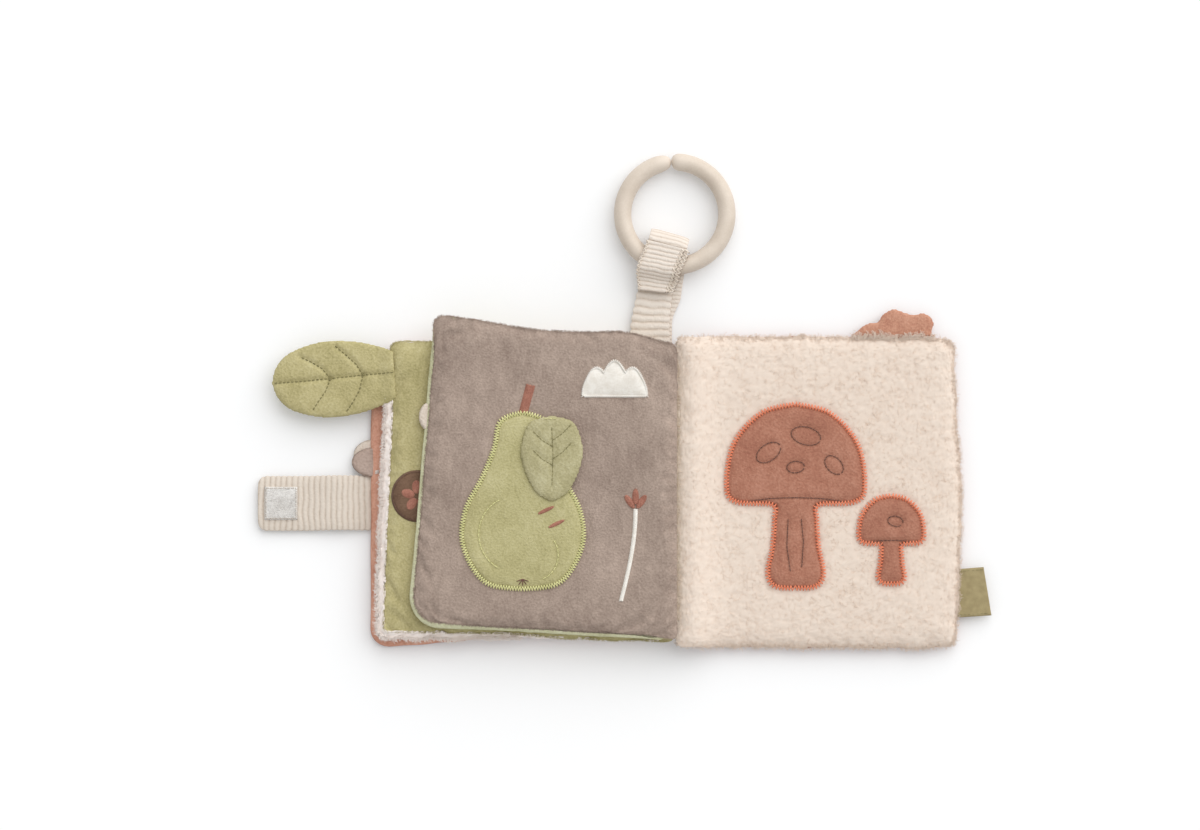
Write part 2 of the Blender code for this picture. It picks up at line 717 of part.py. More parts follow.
def add_lift_flap():
    """The padded leaf that lifts off the pear."""
    leaf = mirrored_outline(LEAF_WIDTH_SHARES, LEAF_HEIGHT_SHARES, FLAP_WIDTH, FLAP_LENGTH, OUTLINE_STEPS)
    flap = pillow(
        moved(leaf, FLAP_X, FLAP_TOP_Y), FLAP_LOW, FLAP_TOP, TAB_EDGE_SHARE, TAB_CROWN_SCALE_SHARES, TAB_CROWN_SHARES
    )
    add_piece("lift_flap", flap, "green_velour", "lift_flap_hinge")


def fore_edge_x(panel, y, width):
    """The outermost place of a panel's drawn-in fore edge beside a piece of the given width at y."""
    places = []
    for end in (y - width / 2, y + width / 2):
        share = (end - panel.fore_bottom) / (panel.fore_top - panel.fore_bottom)
        drawn = SIDE_DRAW_IN / max(panel.top_width, panel.bottom_width) * math.sin(math.pi * share)
        places.append(mix(panel.bottom_width, panel.top_width, share) * (1 - drawn))
    return panel.gutter_x + panel.side * max(places)


def back_top_y(x):
    """The back cover's drawn-in top edge."""
    share = (x - BACK_COVER.gutter_x) / BACK_COVER.top_width
    return BACK_HIGH_Y - SIDE_DRAW_IN * math.sin(math.pi * share)


LEAF_TAB_WIDTH_SHARES = (0.0, 0.40, 0.74, 0.96, 1.0, 0.92, 0.74)
LEAF_TAB_LENGTH_SHARES = (1.0, 0.955, 0.84, 0.62, 0.42, 0.20, 0.0)


def add_leaf_tab():
    """The quilted leaf sewn into leaf 1's fore edge."""
    half = []
    last = len(LEAF_TAB_WIDTH_SHARES) - 1
    for k in range(last * OUTLINE_STEPS + 1):
        at = k / OUTLINE_STEPS
        base = min(int(at), last - 1)
        half.append((
            -smooth_share(LEAF_TAB_LENGTH_SHARES, base, at - base) * LEAF_TAB_LENGTH,
            smooth_share(LEAF_TAB_WIDTH_SHARES, base, at - base) * LEAF_TAB_WIDTH / 2,
        ))
    outline = half + [(x, -y) for x, y in reversed(half[1:])]
    tab = pillow(
        outline,
        -LEAF_TAB_THICKNESS / 2,
        LEAF_TAB_THICKNESS / 2,
        TAB_EDGE_SHARE,
        TAB_CROWN_SCALE_SHARES,
        TAB_CROWN_SHARES,
    )
    root = Vector((leaf_tab_root_x(), LEAF_TAB_Y, LEAF_1_SEAM))
    turn = Matrix.Rotation(LEAF_TAB_TURN, 4, "Z") @ Matrix.Rotation(-LEAF_TAB_DROOP, 4, "Y")
    tab.transform(Matrix.Translation(root) @ turn)
    add_piece("leaf_tab", tab, "green_velour", "leaf_tab_hinge")


def leaf_tab_root_x():
    """The leaf tab starts just outside leaf 1's fore edge."""
    return fore_edge_x(LEAF_1, LEAF_TAB_Y, LEAF_TAB_WIDTH) - LEAF_TAB_HINGE_GAP


def half_round(reach, width):
    """Half an ellipse, its flat side on X zero, reaching towards minus X."""
    points = []
    for k in range(HALF_ROUND_STEPS + 1):
        angle = math.pi / 2 + math.pi * k / HALF_ROUND_STEPS
        points.append((reach * math.cos(angle), width / 2 * math.sin(angle)))
    return points


def add_round_tab():
    """The round tab in the front cover's edge: a taupe ply over a cream ply."""
    outline = moved(half_round(ROUND_TAB_REACH, ROUND_TAB_WIDTH), round_tab_x(), ROUND_TAB_Y)
    low = COVER_SEAM - ROUND_TAB_PLY
    add_piece("round_tab_backing", slab(outline, low, low + ROUND_TAB_PLY), "cream_corduroy", "round_tab_hinge")
    upper = low + ROUND_TAB_PLY + TOUCH_GAP
    add_piece("round_tab_face", slab(outline, upper, upper + ROUND_TAB_PLY), "taupe_velour", "round_tab_hinge")


def round_tab_x():
    """The round tab's straight side, beside the front cover's edge."""
    return fore_edge_x(FRONT_COVER, ROUND_TAB_Y, ROUND_TAB_WIDTH) - 2 * TOUCH_GAP


def add_small_tab():
    """The small cream tab in leaf 2's fore edge."""
    root_x = fore_edge_x(LEAF_2, SMALL_TAB_Y, SMALL_TAB_WIDTH) - TOUCH_GAP
    outline = moved(half_round(SMALL_TAB_REACH, SMALL_TAB_WIDTH), root_x, SMALL_TAB_Y)
    low = LEAF_2_SEAM - SMALL_TAB_THICKNESS / 2
    add_piece("small_tab", slab(outline, low, low + SMALL_TAB_THICKNESS), "cream_corduroy", "leaf_2_hinge")


def add_scallop_tab():
    """The wavy tab in the back cover's top edge."""
    points = [(-SCALLOP_TAB_WIDTH / 2, 0), (SCALLOP_TAB_WIDTH / 2, 0)]
    for k in range(1, SCALLOP_STEPS):
        share = k / SCALLOP_STEPS
        wave = mix(SCALLOP_DIP_SHARE, 1, abs(math.sin(SCALLOP_WAVES * math.pi * share)))
        arch = math.sin(math.pi * share) ** SCALLOP_ARCH_SHARE
        points.append((mix(SCALLOP_TAB_WIDTH, -SCALLOP_TAB_WIDTH, share) / 2, SCALLOP_TAB_REACH * arch * wave))
    outline = moved(points, SCALLOP_TAB_X, scallop_tab_y())
    low = BACK_SEAM - SCALLOP_TAB_THICKNESS / 2
    tab = slab(outline, low, low + SCALLOP_TAB_THICKNESS)
    add_piece("scallop_tab", tab, "rust_velour", "scallop_tab_hinge")


def scallop_tab_y():
    """The wavy tab's straight side, just above the back cover's edge at its outer end."""
    return back_top_y(SCALLOP_TAB_X + SCALLOP_TAB_WIDTH / 2) + TOUCH_GAP


def label_x():
    """The label's root, just outside the back cover's edge."""
    return fore_edge_x(BACK_COVER, LABEL_Y, LABEL_WIDTH) + TOUCH_GAP


def add_label():
    """The bare woven label in the back cover's right edge."""
    half = LABEL_WIDTH / 2
    x = label_x()
    outline = [
        (x, LABEL_Y - half),
        (x + LABEL_REACH, LABEL_Y - half + LABEL_SLANT),
        (x + LABEL_REACH - LABEL_SLANT, LABEL_Y + half + LABEL_SLANT),
        (x, LABEL_Y + half),
    ]
    low = BACK_SEAM - LABEL_THICKNESS / 2
    add_piece("side_label", slab(outline, low, low + LABEL_THICKNESS), "olive_label", "label_hinge")


def strap_fold_x():
    """Where the closing strap folds, so that its tip lies flat on the closed book."""
    rise = 2 * GUTTER_AXIS_Z + CLOSED_CLEARANCE + HOOK_PATCH_THICKNESS + TOUCH_GAP - STRAP_THICKNESS
    return strap_root_x() - rise / math.sin(STRAP_TURN)


def strap_root_x():
    """The closing strap's hinge line beside the front cover."""
    return fore_edge_x(FRONT_COVER, STRAP_Y, STRAP_WIDTH) - 2 * TOUCH_GAP


def add_closing_strap():
    """The corduroy strap in two lengths and the hook patch near its end."""
    half = STRAP_WIDTH / 2
    fold = strap_fold_x()
    root = slab(
        box_outline(fold + TOUCH_GAP / 2, STRAP_Y - half, strap_root_x(), STRAP_Y + half), 0, STRAP_THICKNESS
    )
    add_piece("closing_strap_root", root, "cream_corduroy", "strap_root_hinge")
    tip = strap_root_x() - STRAP_REACH
    radius = STRAP_END_RADIUS
    outline = [(fold - TOUCH_GAP / 2, STRAP_Y - half), (fold - TOUCH_GAP / 2, STRAP_Y + half)]
    for centre_y, start in ((STRAP_Y + half - radius, math.pi / 2), (STRAP_Y - half + radius, math.pi)):
        for k in range(STRAP_END_STEPS + 1):
            angle = start + math.pi / 2 * k / STRAP_END_STEPS
            outline.append((tip + radius + radius * math.cos(angle), centre_y + radius * math.sin(angle)))
    add_piece(
        "closing_strap_tip", slab(list(reversed(outline)), 0, STRAP_THICKNESS), "cream_corduroy", "strap_tip_hinge"
    )
    patch_low = STRAP_THICKNESS + TOUCH_GAP
    start = tip + HOOK_PATCH_SETBACK
    side = HOOK_PATCH_SIDE
    patch = slab(
        box_outline(start, STRAP_Y - side / 2, start + side, STRAP_Y + side / 2),
        patch_low,
        patch_low + HOOK_PATCH_THICKNESS,
    )
    add_piece("closing_hook_patch", patch, "white_hook_tape", "strap_tip_hinge")


def hanger_point(along, aside, z):
    """A place on the hanging strap, which bends evenly to the right as it runs up."""
    bend = HANGER_RUN / HANGER_LEAN
    angle = along / bend
    x = HANGER_X + bend * (1 - math.cos(angle)) + aside * math.cos(angle)
    y = hanger_root_y() + bend * math.sin(angle) - aside * math.sin(angle)
    return Vector((x, y, z))


def hanger_root_y():
    """The hanging strap starts just above the covers' top edge."""
    return COVER_HIGH_Y + 2 * TOUCH_GAP


def hanger_ribbon(path):
    """Webbing along a path of (along, z) points at mid thickness."""
    bm = bmesh.new()
    half = HANGER_WIDTH / 2
    rows = [[bm.verts.new(hanger_point(along, aside, z)) for aside in (-half, half)] for along, z in path]
    for lower, upper in zip(rows, rows[1:]):
        bm.faces.new((lower[0], lower[1], upper[1], upper[0]))
    return bm


def add_ribbon(name, path, hinge):
    """A ribbon object given its thickness about the path."""
    piece = add_piece(name, hanger_ribbon(path), "cream_corduroy", hinge)
    wall = piece.modifiers.new("webbing", "SOLIDIFY")
    wall.thickness = HANGER_THICKNESS
    wall.offset = 0
    wall.use_even_offset = True
    return piece


def hanger_levels():
    """Mid-thickness heights of the strap's lower and upper runs."""
    low = HANGER_THICKNESS / 2
    high = ring_low_z() + RING_SECTION + TOUCH_GAP + HANGER_THICKNESS / 2
    return low, high


def ring_low_z():
    """The ring's underside where it lies on the strap."""
    return HANGER_THICKNESS + TOUCH_GAP


def base_top():
    """Top of the short strap piece that the flap closes on."""
    return 2 * HANGER_THICKNESS + TOUCH_GAP


def flap_end_level():
    """Mid-thickness height of the strap flap's closed end, above the two tape patches."""
    return base_top() + 3 * TOUCH_GAP + 2 * HANGER_TAPE_THICKNESS + HANGER_THICKNESS / 2


def add_hanging_strap():
    """The strap from the spine's top seam, under the ring and over it, and its touch tape."""
    low, high = hanger_levels()
    radius = (high - low) / 2
    turn_start = HANGER_RUN - radius - HANGER_THICKNESS / 2
    run = [(turn_start * k / HANGER_STEPS, low) for k in range(HANGER_STEPS + 1)]
    for k in range(1, FOLD_STEPS + 1):
        angle = -math.pi / 2 + math.pi * k / FOLD_STEPS
        run.append((turn_start + radius * math.cos(angle), low + radius + radius * math.sin(angle)))
    add_ribbon("hanging_strap", run, "hanger_hinge")

    base_low = HANGER_THICKNESS + TOUCH_GAP + HANGER_THICKNESS / 2
    base = [(HANGER_BASE_LENGTH * k / HANGER_STEPS, base_low) for k in range(HANGER_STEPS + 1)]
    add_ribbon("hanging_strap_base", base, "hanger_hinge")

    end_level = flap_end_level()
    foot = HANGER_END_SETBACK + HANGER_TAPE_LENGTH
    flap_start = turn_start - TOUCH_GAP
    shoulder = foot + HANGER_SLOPE_RUN
    flap = [
        (HANGER_END_SETBACK, end_level),
        (foot, end_level),
        (mix(foot, shoulder, 0.5), mix(end_level, high, HANGER_SLOPE_SHARES[0])),
        (shoulder, mix(end_level, high, HANGER_SLOPE_SHARES[1])),
        (shoulder + HANGER_SLOPE_RUN / 2, high),
        (flap_start, high),
    ]
    add_ribbon("hanging_strap_flap", flap, "strap_flap_hinge")

    tape_from = HANGER_END_SETBACK
    loop_low = base_top() + TOUCH_GAP
    hook_low = loop_low + HANGER_TAPE_THICKNESS + TOUCH_GAP
    for name, tape_low, hinge in (
        ("hanging_loop_tape", loop_low, "hanger_hinge"),
        ("hanging_hook_tape", hook_low, "strap_flap_hinge"),
    ):
        half = HANGER_TAPE_WIDTH / 2
        ends = (tape_from, tape_from + HANGER_TAPE_LENGTH - TOUCH_GAP)
        rings = []
        for level in (tape_low, tape_low + HANGER_TAPE_THICKNESS):
            rings.append([
                hanger_point(along, aside, level)
                for along, aside in ((ends[0], -half), (ends[0], half), (ends[1], half), (ends[1], -half))
            ])
        add_piece(name, loft(rings), "white_hook_tape", hinge)


def ring_centre():
    """The ring's middle: its near side lies on the strap and its far side on the table."""
    y = hanger_root_y() + RING_SETBACK
    return Vector((RING_X, y, ring_low_z() / 2 + RING_SECTION / 2))


def ring_tilt():
    """The small tilt that brings the ring's far side down to the table."""
    return -math.atan2(ring_low_z(), 2 * RING_RADIUS)


def add_ring():
    """The nearly closed ring, blunt and a little narrower at its two ends."""
    gap_angle = RING_GAP / RING_RADIUS
    end_step = RING_END_STEP / RING_RADIUS
    start = RING_GAP_TURN + gap_angle / 2
    finish = RING_GAP_TURN - gap_angle / 2 + math.tau
    tapers = RING_END_TAPER_SHARES
    places = [(start + end_step * k, tapers[k]) for k in range(len(tapers))]
    first = start + end_step * len(tapers)
    last = finish - end_step * len(tapers)
    places += [(mix(first, last, k / RING_STEPS), 1.0) for k in range(RING_STEPS + 1)]
    places += [(finish - end_step * k, tapers[k]) for k in reversed(range(len(tapers)))]
    rings = []
    for angle, share in places:
        section = RING_SECTION / 2 * share
        loop = []
        for k in range(RING_SIDES):
            side = math.tau * k / RING_SIDES
            reach = RING_RADIUS + section * math.cos(side)
            loop.append(Vector((reach * math.cos(angle), reach * math.sin(angle), section * math.sin(side))))
        rings.append(loop)
    bm = loft(rings)
    bm.transform(Matrix.Translation(ring_centre()) @ Matrix.Rotation(ring_tilt(), 4, "X"))
    add_piece("carrying_ring", bm, "beige_plastic", "ring_hinge")


def add_hinges():
    """One empty on each joint's axis."""
    gutter = (0, 0, GUTTER_AXIS_Z)
    low, high = hanger_levels()
    turn_start = HANGER_RUN - (high - low) / 2 - HANGER_THICKNESS / 2
    add_hinge("leaf_1_hinge", gutter)
    add_hinge("leaf_2_hinge", gutter, "leaf_1_hinge")
    add_hinge("back_cover_hinge", gutter)
    add_hinge("lift_flap_hinge", (FLAP_X, FLAP_TOP_Y, FLAP_TOP), "leaf_2_hinge")
    add_hinge("leaf_tab_hinge", (leaf_tab_root_x(), LEAF_TAB_Y, leaf_tab_hinge_z()), "leaf_1_hinge")
    add_hinge("round_tab_hinge", (round_tab_x(), ROUND_TAB_Y, COVER_SEAM + ROUND_TAB_PLY + TOUCH_GAP))
    add_hinge("scallop_tab_hinge", (SCALLOP_TAB_X, scallop_tab_y(), scallop_tab_top()), "back_cover_hinge")
    add_hinge("label_hinge", (label_x(), LABEL_Y, BACK_SEAM + LABEL_THICKNESS / 2), "back_cover_hinge")
    add_hinge("strap_root_hinge", (strap_root_x(), STRAP_Y, STRAP_THICKNESS))
    add_hinge("strap_tip_hinge", (strap_fold_x(), STRAP_Y, STRAP_THICKNESS), "strap_root_hinge")
    add_hinge("hanger_hinge", (HANGER_X, hanger_root_y(), base_top()))
    add_hinge("strap_flap_hinge", hanger_point(turn_start, 0, high + HANGER_THICKNESS / 2), "hanger_hinge")
    add_hinge("ring_hinge", ring_centre(), "hanger_hinge")


def leaf_tab_hinge_z():
    """The leaf tab folds up about its upper face."""
    return LEAF_1_SEAM + LEAF_TAB_THICKNESS / 2


def scallop_tab_top():
    """Upper face of the wavy tab."""
    return BACK_SEAM + SCALLOP_TAB_THICKNESS / 2


def main():
    clear_scene()
    add_hinges()
    add_front_cover()
    add_leaf_1()
    add_leaf_2()
    add_back_cover()
    add_badge()
    add_page_2_artwork()
    add_page_3_artwork()
    add_lift_flap()
    add_leaf_tab()
    add_round_tab()
    add_small_tab()
    add_scallop_tab()
    add_label()
    add_closing_strap()
    add_hanging_strap()
    add_ring()


main()
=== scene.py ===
"""Crinkle cloth book lying open: velour and sherpa pads, stitched pictures, corduroy straps and a ring."""

import math
import random
from collections import namedtuple

import bmesh
import bpy
from mathutils import Matrix, Vector, noise
from mathutils.bvhtree import BVHTree


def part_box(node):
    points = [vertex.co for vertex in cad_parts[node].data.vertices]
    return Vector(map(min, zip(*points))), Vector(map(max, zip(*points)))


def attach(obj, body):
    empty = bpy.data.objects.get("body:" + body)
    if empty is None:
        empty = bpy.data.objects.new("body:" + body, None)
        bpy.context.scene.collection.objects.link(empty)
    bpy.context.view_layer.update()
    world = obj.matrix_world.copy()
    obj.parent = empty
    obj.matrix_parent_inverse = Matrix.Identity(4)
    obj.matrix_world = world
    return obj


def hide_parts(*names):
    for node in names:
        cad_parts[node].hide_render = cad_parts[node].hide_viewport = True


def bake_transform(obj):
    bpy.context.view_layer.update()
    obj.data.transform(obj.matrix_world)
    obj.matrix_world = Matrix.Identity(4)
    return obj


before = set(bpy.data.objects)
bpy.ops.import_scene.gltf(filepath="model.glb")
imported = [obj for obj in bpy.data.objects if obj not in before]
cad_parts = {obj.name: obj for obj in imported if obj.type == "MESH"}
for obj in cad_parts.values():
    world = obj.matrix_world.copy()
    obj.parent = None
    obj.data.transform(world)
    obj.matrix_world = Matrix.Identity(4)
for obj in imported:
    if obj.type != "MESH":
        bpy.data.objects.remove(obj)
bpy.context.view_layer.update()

# The photograph's frame, in metres on the table
VIEW_CENTRE_X = -0.0370
VIEW_CENTRE_Y = 0.0370
VIEW_WIDTH = 0.576
VIEW_LEVEL = 0.012
CAMERA_HEIGHT = 2.2
SENSOR_WIDTH = 36

# Gutter and page outlines
GUTTER_Z = 0.01685
CLOTH_WALL = 0.0006

# Corners are the radii at the gutter's top and foot, then the fore edge's top and foot
Page = namedtuple(
    "Page",
    "side gutter_x top_width bottom_width gutter_top gutter_bottom fore_top fore_bottom"
    " low seam high corners shaggy",
    defaults=(False,),
)
FRONT_COVER = Page(
    side=-1, gutter_x=-0.0115, top_width=0.1358, bottom_width=0.1362,
    gutter_top=0.0710, gutter_bottom=-0.0680, fore_top=0.0680, fore_bottom=-0.0750,
    low=0, seam=0.00204, high=0.006, corners=(0.004, 0.004, 0.012, 0.009),
)
LEAF_1 = Page(
    side=-1, gutter_x=-0.006, top_width=0.1326, bottom_width=0.1388,
    gutter_top=0.0715, gutter_bottom=-0.0712, fore_top=0.0728, fore_bottom=-0.0702,
    low=0.0063, seam=0.0093, high=0.0123, corners=(0.004, 0.004, 0.0062, 0.006), shaggy=True,
)
LEAF_1_FACE = LEAF_1._replace(
    gutter_x=-0.0016, top_width=0.1370, bottom_width=0.1432, gutter_bottom=-0.0724,
    corners=(0.003, 0.002, 0.0062, 0.006), shaggy=False,
)
LEAF_2 = Page(
    side=-1, gutter_x=-0.006, top_width=0.1108, bottom_width=0.1238,
    gutter_top=0.0704, gutter_bottom=-0.0712, fore_top=0.0852, fore_bottom=-0.0645,
    low=0.0134, seam=0.0164, high=0.0194, corners=(0.003, 0.002, 0.0060, 0.0150),
)
LEAF_2_FACE = LEAF_2._replace(
    gutter_x=0.0002, top_width=0.1170, bottom_width=0.1300,
    gutter_top=0.0708, gutter_bottom=-0.0708, fore_top=0.0855,
)
BACK_COVER = Page(
    side=1, gutter_x=0.0033, top_width=0.1305, bottom_width=0.132,
    gutter_top=0.0750, gutter_bottom=-0.0748, fore_top=0.0742, fore_bottom=-0.0752,
    low=0, seam=0.003655, high=0.0085, corners=(0.005, 0.004, 0.007, 0.007),
)
BACK_LINING = BACK_COVER._replace(gutter_x=-0.0004, top_width=0.1342, bottom_width=0.1357)

# How far the reverses of the leaves roll round to the front, and how far that lifts the seam
LEAF_1_EDGE = {"wide": 0.0031, "seam_rise": 0.0012}
LEAF_2_EDGE = {"wide": 0.0021, "seam_rise": 0.0010}

# How far the edges of the pages bow and waver as they lie on the table
RIGHT_FORE_BOW = 0.0026
LEAF_2_TOP_BOW = 0.0030
LEAF_2_TOP_HOLLOW = 0.0010
LEFT_FOOT_BOW = 0.0016
LEFT_FOOT_WAVER = 0.0006
SIDE_WAVER = 0.0005
END_WAVER = 0.0004

# The right page's ridge at the binding: its height at the seam and on its crest, and where it ends
RIDGE_SEAM = 0.0112
RIDGE_CREST = 0.0140
RIDGE_TURN = 0.0032
RIDGE_END_X = 0.0066
RIDGE_FALL = 0.0100


def linear(value):
    """One sRGB channel from 0 to 255 as linear light."""
    share = value / 255
    if share <= 0.04045:
        return share / 12.92
    return ((share + 0.055) / 1.055) ** 2.4


def tint(rgb):
    """An sRGB colour as a linear one with full opacity."""
    return (*[linear(channel) for channel in rgb], 1)


def mix(low, high, share):
    """The value at a share of the way from low to high."""
    return low + (high - low) * share


def ease(share):
    """A smooth step from 0 to 1."""
    share = min(max(share, 0), 1)
    return share * share * (3 - 2 * share)


# Materials


def new_finish(name, roughness, sheen=0.0, sheen_roughness=0.5, specular=0.3):
    """A Principled material and its object coordinates."""
    material = bpy.data.materials.new(name)
    material.use_nodes = True
    tree = material.node_tree
    shader = tree.nodes["Principled BSDF"]
    shader.inputs["Roughness"].default_value = roughness
    shader.inputs["Sheen Weight"].default_value = sheen
    shader.inputs["Sheen Roughness"].default_value = sheen_roughness
    shader.inputs["Specular IOR Level"].default_value = specular
    coords = tree.nodes.new("ShaderNodeTexCoord")
    return material, tree, shader, coords.outputs["Object"]


def noise_of(tree, coords, size, detail=2.0, distortion=0.0):
    """Noise whose features are about size metres across."""
    node = tree.nodes.new("ShaderNodeTexNoise")
    node.inputs["Scale"].default_value = 1 / size
    node.inputs["Detail"].default_value = detail
    node.inputs["Distortion"].default_value = distortion
    tree.links.new(coords, node.inputs["Vector"])
    return node.outputs["Fac"]


def stretched(tree, coords, scale):
    """Coordinates scaled apart on each axis."""
    node = tree.nodes.new("ShaderNodeMapping")
    node.inputs["Scale"].default_value = scale
    tree.links.new(coords, node.inputs["Vector"])
    return node.outputs["Vector"]


def calc(tree, operation, first, second):
    """One Math node on two sockets or numbers."""
    node = tree.nodes.new("ShaderNodeMath")
    node.operation = operation
    for socket, value in zip(node.inputs, (first, second)):
        if isinstance(value, bpy.types.NodeSocket):
            tree.links.new(value, socket)
        else:
            socket.default_value = value
    return node.outputs["Value"]


def weigh(tree, parts):
    """The sum of sockets, each times its weight."""
    total = None
    for socket, weight in parts:
        part = calc(tree, "MULTIPLY", socket, weight)
        total = part if total is None else calc(tree, "ADD", total, part)
    return total


def ramp(tree, tone, stops):
    """Colours along a tone."""
    node = tree.nodes.new("ShaderNodeValToRGB")
    elements = node.color_ramp.elements
    while len(elements) < len(stops):
        elements.new(0.5)
    for element, (place, rgb) in zip(elements, stops):
        element.position = place
        element.color = tint(rgb)
    tree.links.new(tone, node.inputs["Fac"])
    return node.outputs["Color"]


def relief(tree, shader, height, strength, distance):
    """Bump from a height socket."""
    node = tree.nodes.new("ShaderNodeBump")
    node.inputs["Strength"].default_value = strength
    node.inputs["Distance"].default_value = distance
    tree.links.new(height, node.inputs["Height"])
    tree.links.new(node.outputs["Normal"], shader.inputs["Normal"])


def attribute_of(tree, name):
    """A point attribute of the piece."""
    node = tree.nodes.new("ShaderNodeAttribute")
    node.attribute_name = name
    return node.outputs["Fac"]


def paint(tree, shader, tone, *stops):
    """Colour a finish along a tone."""
    tree.links.new(ramp(tree, tone, stops), shader.inputs["Base Color"])


def velour(name, dark, base, light):
    """Short pile that lies in soft patches, with a fine grain."""
    material, tree, shader, coords = new_finish(name, 0.95, sheen=0.34, sheen_roughness=0.40, specular=0.15)
    patches = noise_of(tree, coords, 0.024, 2)
    brushed = noise_of(tree, stretched(tree, coords, (1, 0.55, 1)), 0.0046, 3, 0.8)
    grain = noise_of(tree, coords, 0.0010, 4)
    tone = weigh(tree, ((patches, 0.32), (brushed, 0.26), (grain, 0.42)))
    paint(tree, shader, tone, (0.36, dark), (0.50, base), (0.64, light))
    shader.inputs["Sheen Tint"].default_value = tint(light)
    relief(tree, shader, weigh(tree, ((grain, 1.0), (brushed, 0.8))), 0.6, 0.0008)
    return material


def sherpa(name, dark, base, light):
    """Curly pile: the hollows of the pile, read from the piece's own depth, are painted darker and warmer as
    shade, and the tips paler as light.
    """
    material, tree, shader, coords = new_finish(name, 1.0, sheen=0.3, sheen_roughness=0.6, specular=0.1)
    clumps = noise_of(tree, coords, 0.0034, 3, 1.2)
    fibre = noise_of(tree, coords, 0.0010, 3, 1.0)
    patches = noise_of(tree, coords, 0.020, 2)
    # The pile's depth paints shade into its hollows and light onto its tips.
    tips = attribute_of(tree, "tips")
    tone = weigh(tree, ((clumps, 0.34), (fibre, 0.16), (patches, 0.28), (tips, 0.22)))
    paint(tree, shader, tone, (0.24, dark), (0.42, base), (0.66, light))
    shader.inputs["Sheen Tint"].default_value = tint(light)
    relief(tree, shader, weigh(tree, ((clumps, 0.7), (fibre, 0.3))), 0.16, 0.0009)
    return material


def corduroy(name, groove, base, crest):
    """Ribbed pile: the rib attribute is 0 in a groove and 1 on a crest; the grooves are painted darker as
    shade and the crests paler as light.
    """
    material, tree, shader, coords = new_finish(name, 0.95, sheen=0.25, sheen_roughness=0.5, specular=0.15)
    rib = attribute_of(tree, "rib")
    fluff = noise_of(tree, coords, 0.0014, 3, 0.8)
    patches = noise_of(tree, coords, 0.009, 2)
    tone = weigh(tree, ((rib, 0.52), (fluff, 0.30), (patches, 0.18)))
    paint(tree, shader, tone, (0.22, groove), (0.50, base), (0.76, crest))
    shader.inputs["Sheen Tint"].default_value = tint(crest)
    relief(tree, shader, fluff, 0.5, 0.0007)
    return material


def thread(name, dark, light):
    """Twisted thread with a soft shine."""
    material, tree, shader, coords = new_finish(name, 0.55, sheen=0.15, specular=0.35)
    twist = noise_of(tree, coords, 0.0005, 2)
    patches = noise_of(tree, coords, 0.004, 2)
    tone = weigh(tree, ((twist, 0.6), (patches, 0.4)))
    paint(tree, shader, tone, (0.38, dark), (0.62, light))
    relief(tree, shader, twist, 0.4, 0.0002)
    return material


def felt(name, dark, light):
    """Dense felt with fine fibres."""
    material, tree, shader, coords = new_finish(name, 0.9, sheen=0.1, specular=0.2)
    fibre = noise_of(tree, stretched(tree, coords, (1, 2.4, 1)), 0.0012, 4, 1.5)
    patches = noise_of(tree, coords, 0.007, 2)
    tone = weigh(tree, ((fibre, 0.65), (patches, 0.35)))
    paint(tree, shader, tone, (0.38, dark), (0.62, light))
    relief(tree, shader, fibre, 0.4, 0.0003)
    return material


def wave_of(tree, coords, size, direction):
    """Even bands, size metres apart."""
    node = tree.nodes.new("ShaderNodeTexWave")
    node.bands_direction = direction
    node.wave_profile = "SIN"
    node.inputs["Scale"].default_value = math.tau / (20 * size)
    node.inputs["Distortion"].default_value = 0
    tree.links.new(coords, node.inputs["Vector"])
    return node.outputs["Fac"]


def woven(name, dark, light):
    """A plain tight weave."""
    pitch = 0.0005
    material, tree, shader, coords = new_finish(name, 0.75, sheen=0.1, specular=0.25)
    warp = wave_of(tree, coords, pitch, "X")
    weft = wave_of(tree, coords, pitch * 0.8, "Y")
    uneven = noise_of(tree, coords, 0.003, 3)
    weave = calc(tree, "MULTIPLY", warp, weft)
    tone = weigh(tree, ((weave, 0.45), (uneven, 0.55)))
    paint(tree, shader, tone, (0.20, dark), (0.62, light))
    relief(tree, shader, weave, 0.6, 0.00025)
    return material


def plastic(name, dark, light):
    """Matt moulded plastic."""
    material, tree, shader, coords = new_finish(name, 0.42, specular=0.45)
    cloudy = noise_of(tree, coords, 0.016, 3)
    fine = noise_of(tree, coords, 0.0009, 2)
    tone = weigh(tree, ((cloudy, 0.75), (fine, 0.25)))
    paint(tree, shader, tone, (0.38, dark), (0.62, light))
    rough = calc(tree, "ADD", calc(tree, "MULTIPLY", cloudy, 0.12), 0.36)
    tree.links.new(rough, shader.inputs["Roughness"])
    relief(tree, shader, fine, 0.12, 0.0002)
    return material


def film(name, dark, light):
    """Thin clear-grey film with creases."""
    material, tree, shader, coords = new_finish(name, 0.25, specular=0.5)
    creases = tree.nodes.new("ShaderNodeTexVoronoi")
    creases.feature = "DISTANCE_TO_EDGE"
    creases.inputs["Scale"].default_value = 90
    tree.links.new(coords, creases.inputs["Vector"])
    tone = creases.outputs["Distance"]
    paint(tree, shader, tone, (0.0, light), (0.5, dark))
    relief(tree, shader, tone, 0.8, 0.001)
    return material


